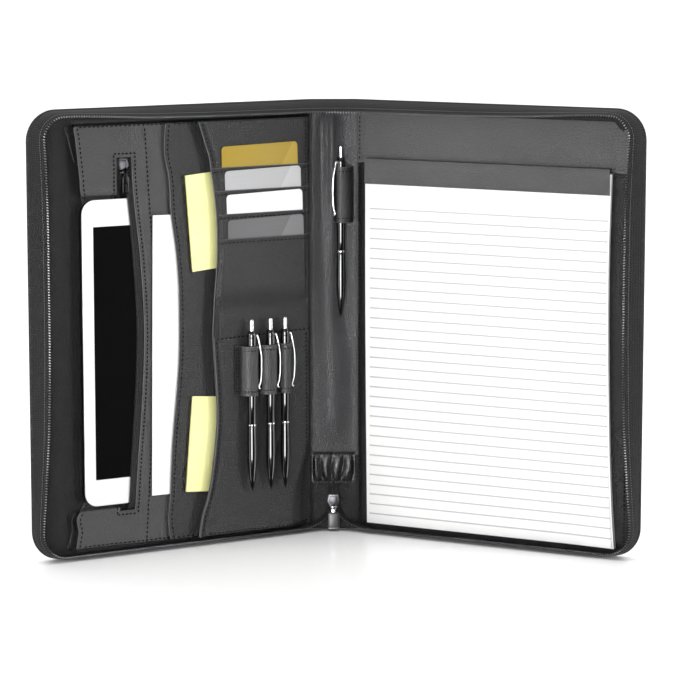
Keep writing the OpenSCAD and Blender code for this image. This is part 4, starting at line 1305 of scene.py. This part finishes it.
def gusset(z_seam, z_wall):
    """End of the pockets: a strip from the sewn end of the fronts back to the lining, and a tapering pleat
    from the outer edge of the first front down to the lining, its folded foot a light line of painted
    highlight."""
    s = np.linspace(5.0, 211.0, 70)[:, None]
    step = 0.7 * smooth((131 - s) / 1.0) + 0.7 * smooth((106 - s) / 1.0)
    t = np.linspace(0, 1, 6)[None]
    n = STACK + 0.2 + (0.75 + step) * np.sin(t * math.pi / 2)
    z = z_wall + (z_seam - z_wall) * (1 - np.cos(t * math.pi / 2)) + 0 * s
    back = STACK + 0.1 + 0.4 * (n - STACK)
    wall = sheet(at(LEFT, s, n + 0 * z, z), at(LEFT, s, back + 0 * z, z))
    way = math.copysign(1.0, z_wall - z_seam)
    u = np.linspace(0, 1, 24)[:, None]
    v = np.linspace(0, 1, 12)[None]
    pleat_z = z_seam - way * (2.0 + 27.0 * u)
    edge = curve(pleat_z, ZIP_EDGE)
    low = STACK + 0.45
    high = np.maximum(zip_height(edge, pleat_z) - 0.5, low + 0.2)
    pleat_s = edge - 0.6 + (4.4 * (1 - u) ** 0.8 + 1.0) * v
    pleat_n = high + (low - high) * smooth(v) - 1.4 * (1 - u) * np.sin(math.pi * v) ** 2
    pleat_n = np.maximum(pleat_n, low)
    pleat_z = pleat_z + 0 * v
    pleat = sheet(left_place(pleat_s, pleat_n, pleat_z), left_place(pleat_s, pleat_n - 0.4, pleat_z))
    fold = rod(left_place(pleat_s[:, -1], low + 0.2, pleat_z[:, 0]), 0.4, LEFT_UP)
    return wall, pleat, fold


for word, z_seam, z_wall in (("top", 338.2, 341.0), ("bottom", 6.4, 3.4)):
    wall, pleat, fold = gusset(z_seam, z_wall)
    piece(
        "pocket_gusset_" + word, [(wall, front_hide), (pleat, lining_hide), fold],
        ["pocket_" + word + "_gusset"], "left_cover",
    )

# Pocket zip

TEETH_IN = (
    (34.0, 169.4), (39.0, 168.8), (74.3, 166.2), (121.4, 162.4), (176.2, 160.0), (231.0, 162.8),
    (279.0, 167.2), (290.0, 168.4), (301.0, 169.3), (312.0, 169.4),
)
TEETH_IN_N = (
    (34.0, 7.9), (39.0, 10.2), (46.0, 10.9), (56.0, 11.0), (160.0, 11.0), (264.0, 11.0), (274.0, 10.9),
    (282.0, 10.5), (292.0, 8.9), (301.0, 7.7), (312.0, 7.4),
)
TEETH_OUT = (
    (34.0, 170.1), (40.0, 172.0), (60.0, 172.6), (80.0, 172.6), (160.0, 172.6), (240.0, 172.6),
    (260.0, 172.6), (281.0, 171.8), (291.0, 170.9), (301.0, 170.2), (312.0, 170.1),
)
TEETH_OUT_N = (
    (34.0, 6.9), (40.0, 4.3), (46.0, 4.05), (56.0, 4.05), (160.0, 4.05), (262.0, 4.05), (272.0, 4.05),
    (282.0, 4.6), (292.0, 6.0), (301.0, 7.2), (312.0, 7.2),
)


def pocket_tape(teeth_s, teeth_n, base_s, base_n):
    """One tape of the pocket zip: a sheet from under the slot's edge to its row of coil teeth."""
    z = np.linspace(35.5, 310.5, 150)[:, None]
    s1, n1 = curve(z, teeth_s), curve(z, teeth_n)
    s0, n0 = base_s(z), base_n(z)
    w = np.linspace(0, 1, 7)[None]
    s, n = s0 + (s1 - s0) * w, n0 + (n1 - n0) * w + 0.25 * np.sin(math.pi * w)
    cloth = sheet(left_place(s, n, z), left_place(s, n - 0.45, z), uv=uv_of(z, w * 7.0))
    line = at(LEFT, s1[:, 0], n1[:, 0] + 0.15, z[:, 0])
    centres, ahead = evenly(line, 1.55)
    face = np.broadcast_to(inward(LEFT), centres.shape)
    across = unit(np.cross(face, ahead))
    return cloth, beads(centres, across * 1.25, ahead * 0.5, face * 0.75)


inner_cloth, inner_teeth = pocket_tape(
    TEETH_IN, TEETH_IN_N,
    lambda z: curve(z, SLOT_IN) - 2.0, lambda z: zip_height(curve(z, SLOT_IN), z) - 0.75,
)
outer_cloth, outer_teeth = pocket_tape(
    TEETH_OUT, TEETH_OUT_N, lambda z: SLOT_OUT + 1.5 + 0 * z, lambda z: zip_height(SLOT_OUT + 1.5, z) - 0.8
)
piece(
    "pocket_zip",
    [
        (inner_cloth, tape_cloth), (outer_cloth, tape_cloth),
        (inner_teeth, teeth_black), (outer_teeth, teeth_black),
    ],
    ["pocket_zip_tape"], "left_cover",
)

POCKET_S, POCKET_N, POCKET_Z = 169.75, 7.5, 299.0
POCKET_TURN = math.atan(7.5 / 12.5)
POCKET_BAR = 5.16


def pocket_place(x, n, z):
    """Frame of the pocket slider, turned with the slope of its tapes."""
    c, d = math.cos(POCKET_TURN), math.sin(POCKET_TURN)
    return at(LEFT, POCKET_S + x * c + n * d, POCKET_N - x * d + n * c, POCKET_Z + z)


def pocket_bar(x, n, z):
    """Frame of the pocket slider's bail, square to the cover."""
    return at(LEFT, POCKET_S + x, POCKET_N + n - x * 0.6 * (np.asarray(n) < 2.7), POCKET_Z + z)


piece(
    "pocket_zip_slider", slider_parts(pocket_place, pocket_bar, black_nickel, black_nickel, POCKET_BAR),
    ["pocket_slider"], "pocket_slide",
)


def pocket_pull_place(x, n, z):
    """Frame of the pocket pull, its eye at the origin."""
    return at(LEFT, POCKET_S + x, POCKET_N + POCKET_BAR + n, POCKET_Z + 2.0 + z)


long_ring = round_rect(-2.4, 2.4, -17.4, -3.2, 2.2)
long_line = pocket_pull_place(long_ring[:, 0], 0, long_ring[:, 1])
long_fill = round_rect(-2.1, 2.1, -9.6, -3.4, 1.4)
piece(
    "pocket_zip_pull",
    [
        eye(pocket_pull_place, (-0.88, -0.48, 0), black_nickel),
        (plate(round_rect(-1.3, 1.3, -4.4, -1.3, 0.5), -0.7, 0.7, 0.3, pocket_pull_place), black_nickel),
        (hoop(long_line, 0.7, up=inward(LEFT), wide=0.8), black_nickel),
        (plate(long_fill, -0.6, 0.6, 0.3, pocket_pull_place), black_nickel),
    ],
    ["pocket_pull"], "pocket_tab",
)

# Tablet, papers and notes

TABLET = (37.0, 206.5, 40.0, 280.0)
BEZEL = (37.2, 206.3, 40.2, 279.8)
SCREEN = (46.5, 197.0, 61.0, 259.0)
for name, outline, low, high, edge, finish, slot, node in (
    ("back", round_rect(*TABLET, 11.0, 12), 4.4, 9.6, 1.8, shell_alu_painted_shade, "tablet_white", "shell"),
    ("bezel", round_rect(*BEZEL, 10.8, 12), 9.3, 10.6, 0.6, bezel_white, "tablet_white", "front"),
    ("display", round_rect(*SCREEN, 0.6, 4), 10.3, 10.66, 0.04, screen_glass, "tablet_screen", "screen"),
):
    part = plate(outline, low, high, edge, left_place), finish
    piece("tablet_" + name, [part], ["tablet_" + node], "tablet")


def leaf_block(s, z, n_front, n_back, place=left_place):
    """Stack of leaves between two heights: front and back as grids, with the cut edges as a rim."""
    rows, cols = s.shape
    front, back = place(s, n_front, z), place(s, n_back, z)
    points, faces, marks = sheet(front, back, uv=uv_of(s, z))
    top = (rows - 1) * (cols - 1)
    return (points, faces[:2 * top], marks), (points, faces[2 * top:], marks)


def turned_leaf(s_free, z_mid, turn, wide=76.0, high=76.0, count=26):
    """Grid over a leaf, turned about the middle of its free edge."""
    u, v = np.meshgrid(np.linspace(-wide, 0, count), np.linspace(-high / 2, high / 2, count), indexing="ij")
    a = math.radians(turn)
    return s_free + u * math.cos(a) + v * math.sin(a), z_mid - u * math.sin(a) + v * math.cos(a)


for word, s_free, z_mid, turn in (("upper", 116.8, 257.5, 4.6), ("lower", 117.9, 83.1, -5.0)):
    s, z = turned_leaf(s_free, z_mid, turn)
    curl = 1.0 * smooth((s - 101) / 18) ** 2 * (0.7 + 0.3 * np.sin(z / 21))
    face, rim = leaf_block(s, z, 15.45 + curl, 14.2 + 0.6 * curl)
    piece(
        "sticky_notes_" + word, [(face, note_paper), (rim, note_edge)],
        ["sticky_" + word], "notes_" + word,
    )

s, z = turned_leaf(148.2, 155.0, -0.8, 105.0, 221.0, 40)
curl = 0.8 * smooth((s - 130) / 20) ** 2 * (0.6 + 0.4 * np.cos((z - 60) / 55))
face, rim = leaf_block(s, z, 12.7 + 0.6 * curl, 12.25 + 0.5 * curl)
piece("folded_papers", [(face, plain_paper), (rim, pad_edge)], ["paper"], "papers")

# Pens and their loops

PEN_N = 22.3
PENS = ((65.3, "pen_1"), (48.4, "pen_2"), (35.2, "pen_3"))
PEN_TIP = 41.3
BARREL = (
    (0.0, 0.9), (0.55, 0.9), (0.75, 1.4), (1.2, 3.2), (1.35, 3.4), (2.2, 8.5), (2.95, 14.0),
    (3.5, 20.0), (3.85, 26.0), (3.95, 31.0), (3.85, 37.0), (3.6, 45.0), (3.4, 52.2), (3.3, 52.5),
    (3.3, 54.4), (3.4, 54.7), (3.6, 75.0), (3.7, 95.0), (3.7, 120.0), (3.5, 125.5), (3.1, 128.2),
    (2.6, 129.0), (0.0, 129.0),
)
POINT = ((0.0, 0.0), (0.35, 0.0), (0.5, 0.25), (0.5, 1.2), (0.9, 1.3), (1.0, 2.8), (0.0, 2.8))
RING = ((3.2, 52.6), (3.6, 52.7), (3.75, 53.0), (3.75, 53.9), (3.6, 54.2), (3.2, 54.3))
COLLAR = ((3.2, 123.2), (3.7, 123.3), (3.78, 123.6), (3.7, 125.4), (3.3, 125.6))
BUTTON = (
    (0.0, 124.0), (1.88, 124.0), (1.9, 137.2), (1.8, 137.7), (1.5, 138.0), (0.0, 138.0),
)
CLIP = (
    (3.0, 123.6), (4.0, 125.4), (4.7, 124.8), (5.5, 121.5), (6.4, 117.0), (7.3, 111.5), (7.7, 105.0),
    (7.6, 96.0), (7.1, 89.5), (6.3, 86.2), (5.7, 84.6), (5.8, 83.2), (6.5, 82.4), (7.2, 82.8),
)
CLIP_TURN = math.radians(30)


def pen_pieces(name, place):
    """One pen: turned barrel with point and ring, wire clip bowed outward with a hooked end, and
    push button. Place takes the way to the clip's side, the way off the sheet, and z."""
    knots = np.array(CLIP)
    q = np.linspace(0, len(knots) - 1, 60)
    bent = curve(q, np.hstack([np.arange(len(knots))[:, None], knots]))
    line = place(bent[:, 0] * math.cos(CLIP_TURN), bent[:, 0] * math.sin(CLIP_TURN), bent[:, 1])
    piece(
        name + "_body",
        [
            (lathe(BARREL, place), lacquer),
            (lathe(POINT, place, 16), black_nickel),
            (lathe(RING, place), chrome),
        ],
        [name + "_barrel"], name,
    )
    piece(
        name + "_wire_clip",
        [(tube(line, 0.64, up=(0.3, 1, 0)), wire_chrome), (lathe(COLLAR, place), lacquer)],
        [name + "_clip"], name,
    )
    button = lathe(BUTTON, place, 28)
    piece(name + "_push_button", [(button, chrome)], [name + "_button"], name + "_push")


for pen_s, name in PENS:
    pen_pieces(name, lambda x, n, z, c=pen_s: at(LEFT, c - x, PEN_N + n, PEN_TIP + z))
SPINE_PEN_X, SPINE_PEN_N, SPINE_PEN_Z = 6.0, 8.2, 175.0
pen_pieces("spine_pen", lambda x, n, z: on_spine(SPINE_PEN_X - x, SPINE_PEN_N + n, SPINE_PEN_Z + z))


def arch(centre, left, right, base, rise, count=28):
    """Arch over a pen, its two sides of different width: across the cosine, up the sine to the power
    0.9, which is a little fuller than half an ellipse."""
    a = np.linspace(0.02, math.pi - 0.02, count)
    reach = np.where(np.cos(a) > 0, left, right)
    return np.stack([centre + reach * np.cos(a), base + rise * np.sin(a) ** 0.9], -1)


def loop_strip(path, low, high, place, face, rows):
    """Strip bent over a pen between two levels, its turned hems a little proud of it, the stitches in them
    and its edges, lighter as a painted highlight."""
    along = unit(np.gradient(path, axis=0))
    raised = path + np.stack([along[:, 1], -along[:, 0]], -1) * 0.35 * np.sign(path[0, 0] - path[-1, 0])
    parts = [(band(path, low, high, 0.7, place, rows), loop_hide)]
    for a, b in ((low, low + 2.4), (high - 2.4, high)):
        parts.append((band(raised, a, b, 0.5, place), loop_hide))
    for z in (low + 3.2, high - 3.2):
        line = place(path[:, 0], path[:, 1] + 0.45, z)
        parts.append(sewn(line, face, 2.8, 1.9, 0.45))
    for z in (low, high):
        line = place(path[:, 0], path[:, 1] + 0.2, z)
        parts.append(rod(line, 0.42))
    return parts


LOOP_LOW, LOOP_HIGH = 119.0, 158.0
LOOP_BASE = 17.75
loop_path = np.concatenate([
    [(78.0, LOOP_BASE), (76.4, LOOP_BASE), (75.0, LOOP_BASE)],
    arch(65.3, 9.2, 6.2, LOOP_BASE, 9.4),
    [(58.4, LOOP_BASE)],
    arch(48.4, 9.2, 6.4, LOOP_BASE, 9.4),
    [(41.2, LOOP_BASE)],
    arch(35.2, 5.4, 6.2, LOOP_BASE, 9.4),
    [(28.4, LOOP_BASE)],
])
flange_z = np.linspace(LOOP_LOW + 1, LOOP_HIGH - 1, 30)
loop_parts = loop_strip(loop_path, LOOP_LOW, LOOP_HIGH, left_place, inward(LEFT), 12)
for s in (76.6, 75.2, 58.3, 41.1):
    line = left_place(s, LOOP_BASE + 0.45, flange_z)
    loop_parts.append(sewn(line, inward(LEFT), 3.0, 2.0, 0.36))
piece("pen_loops", loop_parts, ["pen_loops"], "left_cover")

SPINE_LOOP_LOW, SPINE_LOOP_HIGH = 252.0, 296.0
CREST_POINTS = 37
spine_path = np.concatenate([
    [(16.6, STACK + 0.75), (16.0, STACK + 0.8)],
    arch(SPINE_PEN_X, 9.4, 5.3, STACK + 0.85, 8.6, CREST_POINTS),
])
crest = len(spine_path) - CREST_POINTS // 2 - 1
loop_z = np.linspace(SPINE_LOOP_LOW + 1, SPINE_LOOP_HIGH - 1, 30)


def spine_loop_half(path):
    """Half of the spine's loop, from its crest to one foot."""
    return loop_strip(path, SPINE_LOOP_LOW, SPINE_LOOP_HIGH, on_spine, SPINE_FACE, 10)


piece("loop_on_spine", spine_loop_half(spine_path[crest:]), ["spine_pen_loop"], "spine")
flap_seam = sewn(on_spine(16.2, STACK + 1.2, loop_z), SPINE_FACE, 3.0, 2.0, 0.4)
flap = piece(
    "loop_on_spine_flap", spine_loop_half(spine_path[:crest + 1]) + [flap_seam],
    [], "spine",
)
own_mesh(flap)

# Right cover: panels and writing pad

PAD_SLOT = 300.0
SEAM_S = 4.6


def right_top_height(s, z):
    """Front of the upper panel: flat, with a slight swell, drawn down to its sewn edges."""
    swell = smooth((s - 2.5) / 6) * smooth((238 - s) / 10) * smooth((340 - z) / 8)
    return STACK + 0.55 + 0.5 * swell + 0.35 * smooth((PAD_SLOT + 4.5 - z) / 1.0)


def right_pad_height(s, z):
    """Front of the panel behind the pad: raised over the pad's card, drawn down to its sewn edges."""
    return STACK + 0.6 + 1.95 * smooth((s - 3.0) / 7) * smooth((237 - s) / 12) * smooth((z - 5) / 8)


# Upper panel: its straight part ends at TURN_S, where a corner of radius TURN_R begins
TURN_S, TURN_R = 219.0, 18.6
PANEL_TOP = 339.5
turn_s = TURN_S + TURN_R * np.sin(np.linspace(0, math.pi / 2, 14)[1:])
s = np.concatenate([np.linspace(2.8, TURN_S, 60), turn_s])[:, None]
over = np.clip(s - TURN_S, 0, TURN_R)
z_high = PANEL_TOP - TURN_R + np.sqrt(np.maximum(TURN_R**2 - over**2, 0))
share = np.array(
    [0, 0.008, 0.02, 0.04, 0.06, 0.075, 0.09, 0.12, 0.2, 0.35, 0.5, 0.7, 0.85, 0.95, 1.0]
)[None]
z = PAD_SLOT + (z_high - PAD_SLOT) * share
n = right_top_height(s, z) - 0.25 * bump_at(z, PAD_SLOT + 3.0, 0.5)
top_sheet = laid(right_place, s, n, z, 0.6)
seam_z = np.linspace(302, 337, 20)
top_line = np.linspace(4, 236, 120)
top_edge = right_place(top_line, right_top_height(top_line, PAD_SLOT) - 0.25, PAD_SLOT)
top_seam = right_place(SEAM_S, right_top_height(SEAM_S, seam_z) + 0.15, seam_z)
upper_panel = piece(
    "upper_right_panel",
    [
        (top_sheet, pale_hide),
        rod(top_edge, 0.36),
        sewn(top_seam, inward(RIGHT), **SPINE_STITCH),
    ],
    ["top_panel"], "right_cover",
)

near_s = [2.8, 3.6, 4.2, SEAM_S, 5.0, 5.6, 7, 9, 12]
s = np.concatenate([near_s, np.linspace(20, 220, 24), np.linspace(224, 237.5, 14)])[:, None]
near_z = [294, 296, 296.6, 297, 297.4, 298.2, 299.0, 299.5]
z = np.concatenate([np.linspace(4.5, 16, 10), np.linspace(22, 290, 40), near_z])[None]
n = right_pad_height(s, z) - 0.25 * bump_at(z, 296.6, 0.5) + 0.3 * smooth((z - 295.2) / 0.8)
n = n - 0.25 * bump_at(s, SEAM_S, 0.5)
seam_z = np.linspace(7, 297, 140)
inner_line = right_place(SEAM_S, right_pad_height(SEAM_S, seam_z) + 0.05, seam_z)
outer_line = right_place(235.0, right_pad_height(235.0, seam_z) + 0.15, seam_z)
foot_line = right_place(top_line, right_pad_height(top_line, 7.2) + 0.15, 7.2)
pad_pocket = piece(
    "pad_pocket_front",
    [
        (laid(right_place, s, n, z, 0.6), lining_hide),
        sewn(inner_line, inward(RIGHT), **SPINE_STITCH),
        sewn(outer_line, inward(RIGHT)),
        sewn(foot_line, inward(RIGHT)),
    ],
    ["pad_panel"], "right_cover",
)

PAD_LEFT = ((7.5, 14.0), (100.0, 12.9), (189.0, 12.2), (303.0, 12.0))
PAD_RIGHT = ((7.5, 229.5), (35.0, 227.0), (62.0, 225.2), (124.0, 222.8), (241.0, 221.3), (303.0, 222.8))


def pad_grid(rows, cols, draw_in, z0, z1):
    """Grid over the pad's leaves between its two slightly bowed sides."""
    z = np.linspace(z0, z1, cols)[None]
    left, right = curve(z, PAD_LEFT) + 0.3 * draw_in, curve(z, PAD_RIGHT) - draw_in
    s = left + (right - left) * np.linspace(0, 1, rows)[:, None]
    return s, z + 0 * s


def pad_curl(s, z):
    """Lift of the leaves at the lower outer corner, growing with the square of the way past it."""
    return 2.6 * smooth((s - 165) / 70) ** 2 * smooth((120 - z) / 115) ** 2


s, z = pad_grid(50, 60, 0.0, 7.5, 299.5)
block, block_rim = leaf_block(s, z, 9.0 + 0.8 * pad_curl(s, z), 6.1 + 0.2 * pad_curl(s, z), right_place)
s, z = pad_grid(50, 60, 1.6, 7.9, 299.5)
leaf, leaf_rim = leaf_block(s, z, 9.3 + pad_curl(s, z), 9.08 + 0.95 * pad_curl(s, z), right_place)
piece(
    "writing_pad",
    [(block, plain_paper), (block_rim, pad_edge), (leaf, ruled), (leaf_rim, pad_edge)],
    ["pad_sheets"], "pad",
)

s = np.linspace(11.8, 221.6, 50)[:, None]
t = np.array([0, 0.4, 0.9, 1.6, 2.4, 4, 8, 12, 16, 18.4, 19.2, 19.8])[None]
z = 283.6 + t + 0 * s
n = 9.85 - 0.25 * bump_at(t, 0, 0.5) - 0.5 * smooth((t - 17.8) / 2.0) + 0 * s
cap_path = np.array([(303.2, 9.3), (303.7, 8.4), (303.8, 7.0), (303.6, 5.4), (303.2, 4.4)])
cap_s = np.linspace(12.2, 221.4, 30)[:, None]
cap_front = right_place(cap_s, cap_path[None, :, 1], cap_path[None, :, 0])
cap_back = right_place(cap_s, cap_path[None, :, 1], cap_path[None, :, 0] - 1.2)
head_line = np.linspace(11.8, 221.6, 90)
piece(
    "pad_binding_strip",
    [
        (laid(right_place, s, n, z, 0.5), pale_hide),
        (sheet(cap_front, cap_back), pale_hide),
        rod(right_place(head_line, 9.55, 283.5), 0.3),
    ],
    ["pad_header"], "pad",
)

# Hidden boards keep their solids

for name in ("left_board", "right_board", "spine_board", "pad_back"):
    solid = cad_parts[name]
    solid.data.materials.clear()
    solid.data.materials.append(grey_board)

# Floor, light and surroundings

# Floor: painted board, white with a faint sheen
floor_white, floor_tree, floor_shader = finish_of("white studio floor", Roughness=0.22, IOR=1.16)
floor_place = add(floor_tree, "TexCoord").outputs["Object"]
floor_drift = add(floor_tree, "TexNoise", {"Vector": floor_place, "Scale": 3.0})
floor_tones = {"Factor": floor_drift, 6: linear("#f8f8f8"), 7: linear("#fdfdfd")}
floor_tone = add(floor_tree, "Mix", floor_tones, data_type="RGBA")
wire(floor_tree, floor_shader, {"Base Color": floor_tone.outputs[2]})
floor_mesh = bpy.data.meshes.new("floor")
FLOOR = 16.0
floor_corners = [(-FLOOR, -FLOOR, 0), (FLOOR, -FLOOR, 0), (FLOOR, FLOOR, 0), (-FLOOR, FLOOR, 0)]
floor_mesh.from_pydata(floor_corners, [], [(0, 1, 2, 3)])
floor_mesh.materials.append(floor_white)
floor = bpy.data.objects.new("floor", floor_mesh)
bpy.context.scene.collection.objects.link(floor)
# Gloss shows the lights and not the floor, as on a small table in a dark room
floor.visible_glossy = False
floor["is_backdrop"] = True

world = bpy.data.worlds.new("studio")
bpy.context.scene.world = world
world.use_nodes = True
sky_tree = world.node_tree
sky_tree.nodes.clear()
ways = add(sky_tree, "TexCoord").outputs["Generated"]
room = add(sky_tree, "SeparateXYZ", {"Vector": ways})
# Dark at the level of the eye in front, white behind and overhead, so the floor stays white
upward = add(sky_tree, "Math", {0: room.outputs["Z"], 1: 0.0}, operation="MAXIMUM")
squared = add(sky_tree, "Math", {0: upward, 1: upward}, operation="MULTIPLY")
backward = add(
    sky_tree, "MapRange",
    {"Value": room.outputs["Y"], "From Min": 0.3, "From Max": 0.8, "To Min": 0.06, "To Max": 1.1},
    interpolation_type="SMOOTHSTEP",
)
glow = add(sky_tree, "Math", {0: squared, 1: 2.2, 2: backward}, operation="MULTIPLY_ADD")
sky = add(sky_tree, "Background", {"Color": linear("#ffffff"), "Strength": glow})
add(sky_tree, "OutputWorld", {"Surface": sky})


def softbox(name, place, aim, wide, high, glow_level):
    """Rectangular area light at a place, turned to a point; its power is pi times its area times the
    brightness that its face shows."""
    data = bpy.data.lights.new(name, "AREA")
    data.shape = "RECTANGLE"
    data.size, data.size_y = wide, high
    data.energy = math.pi * wide * high * glow_level
    lamp = bpy.data.objects.new(name, data)
    lamp.location = place
    way = np.array(aim, float) - np.array(place, float)
    lamp.rotation_euler = (
        math.acos(-way[2] / np.linalg.norm(way)), 0.0, math.atan2(-way[0], way[1]),
    )
    bpy.context.scene.collection.objects.link(lamp)


def reflector(name, azimuth, distance, wide, low, high, level):
    """White card that only gloss sees, upright at an azimuth from the front, to the right positive.
    It reaches below the floor's level, where the upright faces mirror the viewer's line of sight."""
    a = math.radians(azimuth)
    middle = np.array([math.sin(a), -math.cos(a)]) * distance
    along = np.array([math.cos(a), math.sin(a)]) * wide / 2
    ends_xy = middle - along, middle + along
    mesh = bpy.data.meshes.new(name)
    corners = [(*ends_xy[0], low), (*ends_xy[1], low), (*ends_xy[1], high), (*ends_xy[0], high)]
    mesh.from_pydata(corners, [], [(0, 1, 2, 3)])
    paint = bpy.data.materials.new(name)
    paint.use_nodes = True
    paint.node_tree.nodes.clear()
    shine = add(paint.node_tree, "Emission", {"Strength": level})
    add(paint.node_tree, "OutputMaterial", {"Surface": shine})
    paint.cycles.emission_sampling = "NONE"
    mesh.materials.append(paint)
    card = bpy.data.objects.new(name, mesh)
    bpy.context.scene.collection.objects.link(card)
    card.visible_camera = card.visible_diffuse = card.visible_shadow = card.visible_transmission = False
    card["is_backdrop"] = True


softbox("left softbox", (-1.68, -0.78, 0.31), (0.0, 0.0, 0.17), 0.5, 0.58, 17.0)
softbox("right softbox", (1.76, -0.57, 0.31), (0.0, 0.0, 0.17), 0.5, 0.58, 20.0)
softbox("front light", (-0.5, -1.25, 0.12), (0.0, 0.05, 0.18), 0.16, 0.2, 12.0)
reflector("left card", -60.0, 1.8, 0.5, -0.9, 0.4, 4.0)
reflector("right card", 73.0, 1.8, 0.5, -0.9, 0.4, 6.0)
reflector("front card", -10.0, 1.5, 0.8, -0.36, 0.5, 16.0)
bpy.context.scene.view_settings.view_transform = "Standard"

bpy.context.view_layer.update()
low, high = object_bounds()
